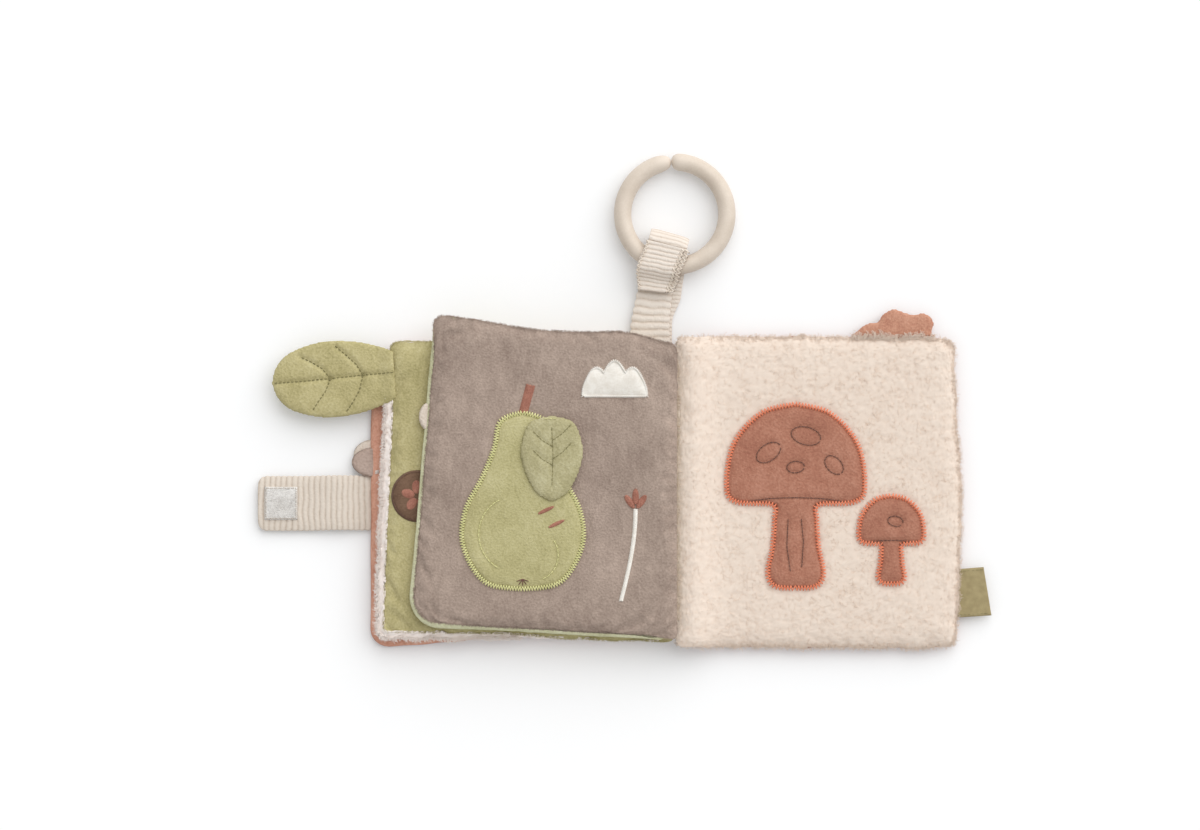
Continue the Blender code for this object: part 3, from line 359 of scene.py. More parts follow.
# Each finish: its name, the slot that it fills, its kind of stuff and its colours from dark to light
FINISH_LIST = (
    ("rust_velour", "rust_velour", velour, (160, 103, 86), (180, 122, 103), (196, 140, 121)),
    ("motif_rust_velour", "rust_velour", velour, (158, 104, 86), (174, 120, 99), (190, 137, 116)),
    # A paler copy of the rust velour for the front cover's lining: painted light where its rim lies in the
    # shade of leaf 1.
    ("lining_rust_velour", "rust_velour", velour, (196, 136, 114), (218, 163, 140), (232, 181, 158)),
    ("pale_rust_velour", "rust_velour", velour, (178, 123, 102), (198, 146, 122), (214, 166, 143)),
    ("green_velour", "green_velour", velour, (166, 157, 110), (188, 178, 131), (203, 194, 149)),
    ("motif_green_velour", "green_velour", velour, (170, 163, 116), (187, 180, 133), (201, 194, 150)),
    ("pale_green_velour", "green_velour", velour, (162, 155, 116), (180, 173, 134), (196, 190, 153)),
    # Pale sage, the leaf 2 reverse's own colour, made paler still as painted light for its shaded rim.
    ("sage_velour", "green_velour", velour, (190, 188, 150), (207, 206, 171), (220, 220, 190)),
    ("taupe_velour", "taupe_velour", velour, (146, 128, 117), (165, 147, 135), (184, 165, 152)),
    ("tab_taupe_velour", "taupe_velour", velour, (160, 140, 128), (182, 161, 149), (198, 178, 166)),
    ("cream_sherpa", "cream_sherpa", sherpa, (220, 197, 178), (230, 213, 198), (236, 221, 207)),
    # A paler copy of the cream sherpa for leaf 1's reverse and its fluff: painted light where they lie in
    # shade.
    ("white_sherpa", "cream_sherpa", sherpa, (222, 206, 196), (243, 231, 223), (251, 243, 237)),
    ("cream_corduroy", "cream_corduroy", corduroy, (200, 183, 166), (224, 211, 198), (238, 228, 217)),
    # A darker copy of the cream corduroy for the closing strap: painted shade for the light that falls off
    # towards the bottom of the book.
    ("strap_corduroy", "cream_corduroy", corduroy, (184, 168, 151), (211, 198, 184), (226, 215, 202)),
    ("plain_cream", "cream_corduroy", velour, (206, 190, 174), (222, 208, 194), (236, 226, 214)),
    ("cream_thread", "cream_thread", thread, (232, 226, 216), (252, 249, 243)),
    ("edging_thread", "cream_thread", thread, (216, 202, 186), (243, 232, 218)),
    # Painted shade for the needle holes along the hanging strap flap's edging.
    ("shade_thread", "cream_thread", thread, (134, 116, 98), (164, 146, 128)),
    ("seam_thread", "cream_thread", thread, (176, 165, 151), (210, 200, 187)),
    ("green_thread", "green_velour", thread, (204, 202, 138), (234, 231, 170)),
    ("olive_thread", "green_velour", thread, (112, 106, 64), (142, 134, 88)),
    ("coral_thread", "rust_velour", thread, (222, 120, 84), (246, 150, 110)),
    ("dark_thread", "rust_velour", thread, (86, 56, 46), (124, 86, 72)),
    ("rust_thread", "rust_thread", thread, (156, 100, 82), (190, 132, 112)),
    ("brown_badge", "brown_badge", felt, (104, 80, 63), (128, 101, 82)),
    ("olive_label", "olive_label", woven, (154, 139, 100), (186, 170, 128)),
    ("hook_tape", "white_hook_tape", felt, (204, 200, 195), (255, 253, 250)),
    ("white_hook_tape", "white_hook_tape", felt, (226, 222, 217), (252, 250, 247)),
    ("wadding", "wadding", felt, (228, 226, 220), (246, 245, 240)),
    ("crinkle_film", "crinkle_film", film, (192, 196, 200), (224, 227, 230)),
    ("beige_plastic", "beige_plastic", plastic, (210, 196, 180), (224, 211, 196)),
)
FINISHES = {name: stuff(name, *colours) for name, slot, stuff, *colours in FINISH_LIST}


# Making pieces


def unit_grid(columns, rows):
    """A flat grid from 0 to 1 both ways."""
    bm = bmesh.new()
    bmesh.ops.create_grid(bm, x_segments=columns, y_segments=rows, size=1)
    reach = max(vert.co.x for vert in bm.verts)
    for vert in bm.verts:
        vert.co = (vert.co.x / reach + 1) / 2, (vert.co.y / reach + 1) / 2, 0
    return bm


def new_piece(name, bm, finish, body, replaces=()):
    """A named object from a bmesh that is already in place, riding on a body."""
    mesh = bpy.data.meshes.new(name)
    bm.to_mesh(mesh)
    bm.free()
    mesh.shade_smooth()
    return dress(bpy.data.objects.new(name, mesh), finish, body, replaces)


def dress(piece, finish, body, replaces=()):
    """Link a piece, give it its finish and its body, and hide the parts that it replaces."""
    bpy.context.scene.collection.objects.link(piece)
    piece.data.materials.clear()
    piece.data.materials.append(FINISHES[finish])
    if body:
        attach(piece, body)
    if replaces:
        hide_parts(*replaces)
    return piece


def faces_up(bm, upwards=True):
    """Turn an open sheet's faces to look up, or down."""
    bm.normal_update()
    total = sum(face.normal.z for face in bm.faces)
    if (total < 0) == upwards:
        bmesh.ops.reverse_faces(bm, faces=bm.faces)


def doubled(bm):
    """Copy a sheet onto itself, and give the points of the copy."""
    copy = bmesh.ops.duplicate(bm, geom=bm.verts[:] + bm.edges[:] + bm.faces[:])["geom"]
    return copy, {item for item in copy if isinstance(item, bmesh.types.BMVert)}


def placed(runs, place):
    """Runs of points carried to a place."""
    return [[tuple(place @ Vector(point)) for point in run] for run in runs]


def add_wall(piece, thickness, offset=-1):
    """Give a sheet its thickness."""
    wall = piece.modifiers.new("cloth wall", "SOLIDIFY")
    wall.thickness = thickness
    wall.offset = offset
    return piece


def add_rounding(piece, levels=1):
    """Subdivision, the same in the view and the render."""
    rounding = piece.modifiers.new("rounding", "SUBSURF")
    rounding.levels = levels
    rounding.render_levels = levels
    return piece


def set_attribute(piece, name, values):
    """A number for each point of a piece."""
    attribute = piece.data.attributes.new(name, "FLOAT", "POINT")
    attribute.data.foreach_set("value", values)


def stitched(name, runs, radius, finish, body, replaces=(), sides=1):
    """Threads: one round tube along each run of points."""
    curve = bpy.data.curves.new(name + "_runs", "CURVE")
    curve.dimensions = "3D"
    curve.bevel_depth = radius
    curve.bevel_resolution = sides
    curve.use_fill_caps = True
    for run in runs:
        spline = curve.splines.new("POLY")
        spline.points.add(len(run) - 1)
        for point, place in zip(spline.points, run):
            point.co = (*place, 1)
    guide = bpy.data.objects.new(name + "_guide", curve)
    bpy.context.scene.collection.objects.link(guide)
    graph = bpy.context.evaluated_depsgraph_get()
    mesh = bpy.data.meshes.new_from_object(guide.evaluated_get(graph))
    bpy.data.objects.remove(guide)
    mesh.name = name
    mesh.shade_smooth()
    return dress(bpy.data.objects.new(name, mesh), finish, body, replaces)


# Outlines and paths


def smooth_share(shares, base, along):
    """Catmull-Rom through four neighbouring shares."""
    before = shares[max(base - 1, 0)]
    start = shares[base]
    end = shares[base + 1]
    after = shares[min(base + 2, len(shares) - 1)]
    return 0.5 * (
        2 * start
        + (end - before) * along
        + (2 * before - 5 * start + 4 * end - after) * along**2
        + (3 * start - before - 3 * end + after) * along**3
    )


def smooth_pairs(first, second, steps):
    """Smooth places through two rows of shares."""
    pairs = []
    last = len(first) - 1
    for k in range(last * steps + 1):
        at = k / steps
        base = min(int(at), last - 1)
        pairs.append((smooth_share(first, base, at - base), smooth_share(second, base, at - base)))
    return pairs


def mirrored_outline(width_shares, height_shares, width, height):
    """Points round a shape that is the same left and right, smooth through its shares."""
    right = [(x * width / 2, y * height) for x, y in smooth_pairs(width_shares, height_shares, 12)]
    left = [(-x, y) for x, y in reversed(right[1:-1])]
    return right + left


def smooth_loop(points, steps=8):
    """A smooth closed line through a few places."""
    outline = []
    count = len(points)
    for k in range(count):
        before, start, end, after = (points[(k + n) % count] for n in (-1, 0, 1, 2))
        for n in range(steps):
            along = n / steps
            outline.append(tuple(
                smooth_share((p, q, r, t), 1, along) for p, q, r, t in zip(before, start, end, after)
            ))
    return outline


def moved(outline, x, y, turn=0.0):
    """An outline turned about its own zero and carried to a place."""
    cosine = math.cos(turn)
    sine = math.sin(turn)
    return [(x + a * cosine - b * sine, y + a * sine + b * cosine) for a, b in outline]


def ellipse(x, y, width, height, turn=0.0, steps=40):
    """Points round an ellipse."""
    points = []
    for k in range(steps):
        angle = math.tau * k / steps
        points.append((width / 2 * math.cos(angle), height / 2 * math.sin(angle)))
    return moved(points, x, y, turn)


def limits(outline):
    """The lowest and highest X and the lowest and highest Y of an outline."""
    across = [x for x, y in outline]
    along = [y for x, y in outline]
    return min(across), max(across), min(along), max(along)


def nearest_on(outline, x, y):
    """The closest place on a closed outline, and its distance, which is positive inside."""
    best = None
    inside = False
    count = len(outline)
    for k in range(count):
        ax, ay = outline[k]
        bx, by = outline[(k + 1) % count]
        dx = bx - ax
        dy = by - ay
        length = dx * dx + dy * dy
        share = 0 if length == 0 else min(max(((x - ax) * dx + (y - ay) * dy) / length, 0), 1)
        px = ax + dx * share
        py = ay + dy * share
        gap = (x - px) ** 2 + (y - py) ** 2
        if best is None or gap < best[0]:
            best = (gap, px, py)
        if (ay > y) != (by > y) and x < ax + dx * (y - ay) / dy:
            inside = not inside
    gap = math.sqrt(best[0])
    return best[1], best[2], gap if inside else -gap


def distance_to(path, x, y):
    """Distance to an open path."""
    best = 1.0
    for (ax, ay), (bx, by) in zip(path, path[1:]):
        dx = bx - ax
        dy = by - ay
        length = dx * dx + dy * dy
        share = 0 if length == 0 else min(max(((x - ax) * dx + (y - ay) * dy) / length, 0), 1)
        best = min(best, math.hypot(x - ax - dx * share, y - ay - dy * share))
    return best


def resample(path, step, closed=False):
    """Places at even steps along a path."""
    points = list(path) + [path[0]] if closed else list(path)
    lengths = [0.0]
    for a, b in zip(points, points[1:]):
        lengths.append(lengths[-1] + math.dist(a, b))
    count = max(int(lengths[-1] / step), 1)
    places = []
    at = 0
    for k in range(count if closed else count + 1):
        want = lengths[-1] * k / count
        while at < len(lengths) - 2 and lengths[at + 1] < want:
            at += 1
        span = lengths[at + 1] - lengths[at]
        share = 0 if span == 0 else (want - lengths[at]) / span
        places.append(tuple(mix(p, q, share) for p, q in zip(points[at], points[at + 1])))
    return places


def dashes(path, stitch, gap, level, lift):
    """Running stitches along a path: each rises a little between its two needle holes."""
    step = 0.0002
    fine = resample(path, step)
    per = max(int(stitch / step), 2)
    skip = max(int(gap / step), 1)
    runs = []
    start = 0
    while start + per < len(fine):
        run = []
        for k in range(4):
            x, y = fine[start + per * k // 3]
            run.append((x, y, level(x, y) + lift * (1 if k in (1, 2) else -0.6)))
        runs.append(run)
        start += per + skip
    return runs


def zigzag(outline, pitch, half_width, level, lift, shift=0.0):
    """Separate slanting stitches to and fro over a closed edge."""
    places = resample(outline, pitch / 2, closed=True)
    count = len(places) - len(places) % 2
    points = []
    for k in range(count):
        ax, ay = places[k - 1]
        bx, by = places[(k + 1) % len(places)]
        length = math.hypot(bx - ax, by - ay) or 1
        way = half_width if k % 2 else -half_width
        x = places[k][0] + (by - ay) / length * (way + shift)
        y = places[k][1] - (bx - ax) / length * (way + shift)
        points.append((x, y))
    runs = []
    for k in range(count):
        (ax, ay), (bx, by) = points[k], points[(k + 1) % count]
        run = []
        for share, rise in ((0, -0.8), (0.3, 1), (0.7, 1), (1, -0.8)):
            x = mix(ax, bx, share)
            y = mix(ay, by, share)
            run.append((x, y, level(x, y) + lift * rise))
        runs.append(run)
    return runs


def satin(outline, spacing, angle, level, lift):
    """Close parallel threads that fill an outline, domed across it."""
    turned = moved(outline, 0, 0, -angle)
    low, high = limits(turned)[2:]
    count = max(int((high - low) / spacing), 1)
    cosine = math.cos(angle)
    sine = math.sin(angle)
    runs = []
    for k in range(count):
        y = low + (high - low) * (k + 0.5) / count
        crossings = []
        for (ax, ay), (bx, by) in zip(turned, turned[1:] + turned[:1]):
            if (ay > y) != (by > y):
                crossings.append(ax + (bx - ax) * (y - ay) / (by - ay))
        crossings.sort()
        for start, end in zip(crossings[::2], crossings[1::2]):
            if end - start < spacing:
                continue
            run = []
            for share, rise in ((0, -0.8), (0.12, 0.5), (0.35, 1), (0.65, 1), (0.88, 0.5), (1, -0.8)):
                x = mix(start, end, share)
                wx = x * cosine - y * sine
                wy = x * sine + y * cosine
                run.append((wx, wy, level(wx, wy) + lift * rise))
            runs.append(run)
    return runs


# Shapes of the pictures

PEAR_WIDTH_SHARES = (0.0, 0.62, 0.97, 0.94, 0.66, 0.46, 0.36, 0.0)
PEAR_HEIGHT_SHARES = (0.0, 0.04, 0.24, 0.44, 0.63, 0.80, 0.95, 1.0)
LEAF_WIDTH_SHARES = (0.0, 0.52, 0.90, 1.0, 0.70, 0.0)
LEAF_HEIGHT_SHARES = (-1.0, -0.88, -0.62, -0.36, -0.08, 0.0)
MUSHROOM_WIDTH_SHARES = (0.0, 0.30, 0.40, 0.33, 0.30, 0.33, 0.86, 1.0, 0.90, 0.50, 0.0)
MUSHROOM_HEIGHT_SHARES = (0.0, 0.01, 0.08, 0.22, 0.38, 0.455, 0.47, 0.55, 0.78, 0.95, 1.0)
PEAR = moved(mirrored_outline(PEAR_WIDTH_SHARES, PEAR_HEIGHT_SHARES, 0.058, 0.084), -0.074, -0.046)
MUSHROOM = moved(mirrored_outline(MUSHROOM_WIDTH_SHARES, MUSHROOM_HEIGHT_SHARES, 0.066, 0.088), 0.057, -0.046)
SMALL_MUSHROOM = moved(
    mirrored_outline(MUSHROOM_WIDTH_SHARES, MUSHROOM_HEIGHT_SHARES, 0.031, 0.042), 0.103, -0.044
)


# Page pads


def swell_at(value, middle, width):
    """A soft bump along an edge, 1 at its middle."""
    return math.exp(-(((value - middle) / width) ** 2))


def ragged(along, seed):
    """How far a fluffy edge wanders in or out."""
    wide = noise.noise(Vector((along / 0.011, seed, 0.3)))
    return 0.0010 * wide + 0.0005 * noise.noise(Vector((along / 0.004, seed, 4.1)))


def page_place(page, a_share, b_share):
    """A place on a page from its shares across and up, its edges bowed as they lie on the table."""
    reach = mix(page.bottom_width, page.top_width, b_share)
    gutter_y = mix(page.gutter_bottom, page.gutter_top, b_share)
    fore_y = mix(page.fore_bottom, page.fore_top, b_share)
    x = page.gutter_x + page.side * reach * a_share
    y = mix(gutter_y, fore_y, a_share)
    edge = abs(2 * b_share - 1) ** 3
    if page.side > 0:
        x += RIGHT_FORE_BOW * a_share**3 * swell_at(y, -0.008, 0.038) + a_share**8 * ragged(y, 1.7)
        y += (2 * b_share - 1) * edge**2 * ragged(x, 9.1)
    elif page.seam > LEAF_1.seam and b_share > 0.5:
        hollow = LEAF_2_TOP_HOLLOW * swell_at(x, -0.072, 0.018)
        y += edge * (LEAF_2_TOP_BOW * swell_at(x, -0.025, 0.016) - hollow)
    if page.shaggy:
        x -= a_share**60 * ragged(y, 5.2)
        y -= (1 - b_share) ** 60 * ragged(x, 6.3)
    if page.side < 0 and page.seam <= LEAF_1.seam and b_share < 0.5:
        waver = LEFT_FOOT_WAVER * noise.noise(Vector((x / 0.012, 3.1, page.seam)))
        y += edge * (LEFT_FOOT_BOW * swell_at(x, -0.085, 0.020) + waver)
    x += page.side * SIDE_WAVER * a_share**4 * noise.noise(Vector((y / 0.020, 7.7, page.seam * 900)))
    y += END_WAVER * edge * (2 * b_share - 1) * noise.noise(Vector((x / 0.022, 5.5, page.seam * 900)))
    return x, y


def ring_place(page, a, b, inset):
    """A place on a page from its square direction and its distance in from the edge."""
    half_width = max(page.top_width, page.bottom_width) / 2
    half_height = (page.gutter_top - page.gutter_bottom) / 2
    reach = max(abs(a), abs(b)) or 1
    left = max(half_width - inset, 0)
    up = max(half_height - inset * half_height / half_width, 0)
    x = a / reach * left
    y = b / reach * up
    corner = page.corners[(2 if x > 0 else 0) + (0 if y > 0 else 1)]
    radius = min(max(corner - inset, corner * 0.12), left, up)
    over_x = abs(x) - (left - radius)
    over_y = abs(y) - (up - radius)
    if over_x > 0 and over_y > 0:
        length = math.hypot(over_x, over_y)
        x = math.copysign(left - radius + over_x / length * radius, x)
        y = math.copysign(up - radius + over_y / length * radius, y)
    return page_place(page, (x / half_width + 1) / 2, (y / half_height + 1) / 2)


def dents(x, y, seed, depth, size=0.022):
    """Soft hollows in a padded face, from zero down to minus depth."""
    wide = noise.noise(Vector((x / size, y / size, seed)))
    small = noise.noise(Vector((x / size * 2.3, y / size * 2.3, seed + 9)))
    share = 0.5 - 0.5 * (wide * 0.9 + small * 0.45)
    return -depth * min(max(share, 0), 1.2)


def puckers(x, y, inset, seed, depth):
    """Short gathers where a face runs into its seam."""
    ripple = noise.noise(Vector((x / 0.0052, y / 0.0052, seed + 3)))
    return -depth * max(0.35 + ripple, 0) * math.exp(-inset / 0.0055)


def crown(inset):
    """How high a face stands at a distance in from its seam, as a share of its full height."""
    steep = 0.50 * math.exp(-inset / 0.0009)
    round_part = 0.32 * math.exp(-inset / 0.0048)
    return 1 - steep - round_part - 0.18 * math.exp(-inset / 0.018)


def fluffy_crown(inset):
    """The same for the curly cloth, which rolls over its seam in one round."""
    return 1 - 0.70 * math.exp(-inset / 0.0022) - 0.30 * math.exp(-inset / 0.015)


def roll_width(page, a, b, wide):
    """How far the reverse rolls round to the front: full at the fore edge, less along the foot."""
    out = a * 0.5 + 0.5
    fore = ease(out) * ease((0.97 - b) / 0.25)
    along = 0.75 * ease(out / 0.12) if page.seam > LEAF_1.seam else mix(0.04, 0.60, ease((out - 0.50) / 0.45))
    return wide * max(fore, ease((0.55 - b) / 0.7) * along) + 0.0002


def gutter_lift(x):
    """How far the right page climbs to the binding, from 1 at the gutter to 0 on the page."""
    return math.exp(-((max(x - RIDGE_END_X, 0) / RIDGE_FALL) ** 2))


def page_face(node, page, upper, finish, body, cells, seed, wide=0.0, seam_rise=0.0, depth=0.0004):
    """One cloth face of a pad, crowned from its rolled seam to the middle."""
    bm = unit_grid(cells, int(cells * 1.1))
    half_width = max(page.top_width, page.bottom_width) / 2
    for vert in bm.verts:
        a = vert.co.x * 2 - 1
        b = vert.co.y * 2 - 1
        share = 1 - max(abs(a), abs(b))
        travel = half_width * share**1.45
        roll = roll_width(page, a, b, wide) if wide else 0
        seam = page.seam + seam_rise * (roll / wide if wide else 0)
        if upper:
            inset = roll + travel * (1 - roll / half_width)
            rise = fluffy_crown(travel) if page.side > 0 else crown(travel)
            height = mix(seam, page.high, rise)
        elif travel < roll:
            turn = travel / roll * math.pi / 2
            inset = roll * math.cos(turn)
            height = page.seam + (seam - page.seam) * math.cos(turn)
        else:
            inset = (travel - roll) * half_width / (half_width - roll)
            height = mix(page.seam, page.low, crown(travel - roll))
        x, y = ring_place(page, a, b, inset)
        if upper and page.side > 0:
            ridge = mix(RIDGE_SEAM, RIDGE_CREST, 1 - math.exp(-travel / RIDGE_TURN))
            height = mix(height, ridge, gutter_lift(x))
        way = 1 if upper else -1
        if depth:
            fade = 1 - math.exp(-inset / 0.004)
            height += way * fade * dents(x, y, seed, depth)
            height += way * (1 - math.exp(-travel / 0.0012)) * puckers(x, y, inset, seed, depth * 1.4)
        vert.co = x, y, height
    faces_up(bm, upper)
    return new_piece(node + "_cloth", bm, finish, body, [node])


def plump(piece, pressure, reach, held_above=1.0):
    """Blow a face up with its seam and roll held, no point moving further than reach, and keep the shape."""
    frames = 20
    mesh = piece.data
    rest = [vert.co.copy() for vert in mesh.vertices]
    faces_at = [0] * len(mesh.edges)
    for polygon in mesh.polygons:
        for loop in polygon.loop_indices:
            faces_at[mesh.loops[loop].edge_index] += 1
    seam = set()
    for edge, count in zip(mesh.edges, faces_at):
        if count < 2:
            seam.update(edge.vertices)
    seam.update(vert.index for vert in mesh.vertices if vert.co.z > held_above)
    held = piece.vertex_groups.new(name="seam")
    held.add(sorted(seam), 1.0, "REPLACE")
    cloth = piece.modifiers.new("cloth", "CLOTH")
    cloth.settings.vertex_group_mass = "seam"
    cloth.settings.quality = 4
    cloth.settings.mass = 0.05
    cloth.settings.bending_stiffness = 0.02
    cloth.settings.shrink_min = -0.035
    cloth.settings.use_pressure = True
    cloth.settings.uniform_pressure_force = pressure
    cloth.settings.effector_weights.gravity = 0
    cloth.collision_settings.use_collision = False
    cloth.point_cache.frame_start = 1
    cloth.point_cache.frame_end = frames
    scene = bpy.context.scene
    for frame_number in range(1, frames + 1):
        scene.frame_set(frame_number)
    blown = piece.evaluated_get(bpy.context.evaluated_depsgraph_get()).data
    moved_to = [vert.co.copy() for vert in blown.vertices]
    piece.modifiers.remove(cloth)
    piece.vertex_groups.remove(held)
    for vert, start, place in zip(mesh.vertices, rest, moved_to):
        step = place - start
        vert.co = start + step * (reach / max(reach, step.length))
    mesh.update()
    scene.frame_set(1)


def level_of(piece):
    """The height of a face's own surface at a place, for what is laid or stitched on it."""
    points = [vert.co for vert in piece.data.vertices]
    tree = BVHTree.FromPolygons(points, [tuple(face.vertices) for face in piece.data.polygons])
    down = Vector((0, 0, -1))

    def level(x, y):
        hit = tree.ray_cast(Vector((x, y, 0.1)), down)[0]
        if hit is None:
            hit = tree.find_nearest(Vector((x, y, GUTTER_Z)))[0]
        return hit.z

    return level


def pile_height(x, y, seed):
    """Curly pile: soft clumps with fine ridges, from 0 in the hollows to 1 on the tips."""
    bend_x = noise.noise(Vector((x / 0.006, y / 0.006, seed))) * 0.0014
    bend_y = noise.noise(Vector((x / 0.006, y / 0.006, seed + 5))) * 0.0014
    place = Vector(((x + bend_x) / 0.0026, (y + bend_y) / 0.0026, seed))
    near = noise.voronoi(place)[0]
    clump = 1 - min(near[0] ** 2 * 1.5, 1)
    ridge = 1 - abs(noise.noise(place * 2.6)) * 2.2
    return min(max(0.5 * clump + 0.5 * ridge, 0), 1)


def raise_pile(piece, seed, height, low=None, share=None):
    """Lift the curly pile out of a sherpa face along its normals, and note the tips, from which the sherpa
    finish paints shade into the hollows.
    """
    mesh = piece.data
    tips = []
    places = []
    for vert in mesh.vertices:
        rise = pile_height(vert.co.x + vert.co.z * 0.5, vert.co.y, seed)
        tips.append(rise)
        full = share(vert.co.x, vert.co.y) if share else 1
        place = vert.co + vert.normal * height * full * (rise - 0.35)
        if low is not None:
            place.z = max(place.z, low)
        places.append(place)
    for vert, place in zip(mesh.vertices, places):
        vert.co = place
    mesh.update()
    set_attribute(piece, "tips", tips)
    return piece


def stitch_down(piece, outline, depth, width):
    """Draw a face in along the line where something is sewn to it."""
    coarse = resample(outline, 0.003, closed=True)
    low_x, high_x, low_y, high_y = limits(coarse)
    around = 2 * width
    for vert in piece.data.vertices:
        beside = low_x - around < vert.co.x < high_x + around
        if beside and low_y - around < vert.co.y < high_y + around:
            away = nearest_on(coarse, vert.co.x, vert.co.y)[2]
            vert.co.z -= depth * math.exp(-((away / width) ** 2))
    piece.data.update()


def stray_curls(name, spots, length, radius, finish, body, seed, low=None):
    """Single fibres that stand off a pile. Each spot is a place and the way its fibre leaves."""
    rng = random.Random(seed)
    runs = []
    for place, way in spots:
        side = Vector((-way.y, way.x, 0))
        if side.length < 1e-6:
            side = Vector((1, 0, 0))
        side.normalize()
        reach = length * rng.uniform(0.45, 1)
        sway = side * reach * rng.uniform(-0.7, 0.7)
        curl = side * reach * rng.uniform(-0.5, 0.5)
        points = [
            place - way * reach * 0.25,
            place + way * reach * 0.35 + sway * 0.35,
            place + way * reach * 0.75 + sway * 0.8,
            place + way * reach * 0.85 + sway + curl,
        ]
        if low is not None:
            for point in points:
                point.z = max(point.z, low)
        runs.append([tuple(point) for point in points])
    piece = stitched(name, runs, radius, finish, body, sides=0)
    # The fibres count as pile tips, so the sherpa finish paints them with its paler, lit tone.
    set_attribute(piece, "tips", [0.8] * len(piece.data.vertices))
    return piece


def page_rim(page, count, seed, keep, inset, wide=0.0):
    """Places round a page's edge, inside its roll if it has one, and the way out of the page at each."""
    rng = random.Random(seed)
    spots = []
    while len(spots) < count:
        turn = rng.uniform(0, 4)
        along = turn % 1 * 2 - 1
        a, b = ((1, along), (along, 1), (-1, along), (along, -1))[int(turn)]
        if not keep(a, b):
            continue
        depth = inset * rng.uniform(0.1, 1) + (roll_width(page, a, b, wide) if wide else 0)
        x, y = ring_place(page, a, b, depth)
        inner_x, inner_y = ring_place(page, a, b, depth + 0.002)
        way = Vector((x - inner_x, y - inner_y, 0)).normalized()
        way.x += rng.uniform(-0.5, 0.5)
        way.y += rng.uniform(-0.5, 0.5)
        way.z = rng.uniform(-0.25, 0.45)
        spots.append((x, y, way.normalized()))
    return spots


# The height of each pad's upper face, once it is made
LEVELS = {}

# Each face: its node, page and side, finish, body, cells across, seed and settings
PAGE_FACES = (
    # The front cover's lining takes the paler copy of the rust velour, as painted light.
    ("front_cover_lining", FRONT_COVER, True, "lining_rust_velour", "front_cover", 76, 1.0, {}),
    ("front_cover_outer", FRONT_COVER, False, "rust_velour", "front_cover", 60, 2.0, {"depth": 0.0}),
    ("leaf_1_face", LEAF_1_FACE, True, "green_velour", "leaf_1", 76, 3.0, {"depth": 0.0005, **LEAF_1_EDGE}),
    # Leaf 1's reverse takes the paler copy of the sherpa, as painted light.
    ("leaf_1_reverse", LEAF_1, False, "white_sherpa", "leaf_1", 150, 4.0, LEAF_1_EDGE),
    ("leaf_2_face", LEAF_2_FACE, True, "taupe_velour", "leaf_2", 84, 5.0, {"depth": 0.0009, **LEAF_2_EDGE}),
    # Leaf 2's reverse is its own pale sage with painted light on top.
    ("leaf_2_reverse", LEAF_2, False, "sage_velour", "leaf_2", 76, 6.0, LEAF_2_EDGE),
    ("back_cover_lining", BACK_LINING, True, "cream_sherpa", "back_cover", 196, 7.0, {"depth": 0.0006}),
    ("back_cover_outer", BACK_COVER, False, "rust_velour", "back_cover", 60, 8.0, {"depth": 0.0}),
)


def add_pages():
    """The faces of the covers and leaves."""
    faces = []
    for node, page, upper, finish, body, cells, seed, settings in PAGE_FACES:
        faces.append(page_face(node, page, upper, finish, body, cells, seed, **settings))
    cover, _, face_1, reverse_1, face_2, reverse_2, lining, _ = faces
    for piece, held_above in ((face_1, 1), (face_2, 1), (reverse_2, LEAF_2.seam - 0.0004)):
        plump(piece, pressure=30, reach=0.0012, held_above=held_above)
    for outline in (PEAR, moved(ellipse(0, 0, 0.031, 0.016), -0.030, 0.053)):
        stitch_down(face_2, outline, depth=0.0005, width=0.0028)
    for outline in (MUSHROOM, SMALL_MUSHROOM):
        stitch_down(lining, outline, depth=0.0006, width=0.0030)
    LEVELS["front_cover"] = level_of(cover)
    LEVELS["leaf_1"] = level_of(face_1)
    LEVELS["leaf_2"] = level_of(face_2)
    LEVELS["back_cover"] = level_of(lining)
    raise_pile(reverse_1, 11.0, 0.0010, low=LEAF_1.low - 0.0001, share=lambda x, y: ease((0.066 - y) / 0.012))
    raise_pile(lining, 12.0, 0.0005)
    for piece in faces:
        add_wall(piece, CLOTH_WALL)
    for piece in (cover, face_1, face_2, reverse_2):
        add_rounding(piece)
    add_fluff()


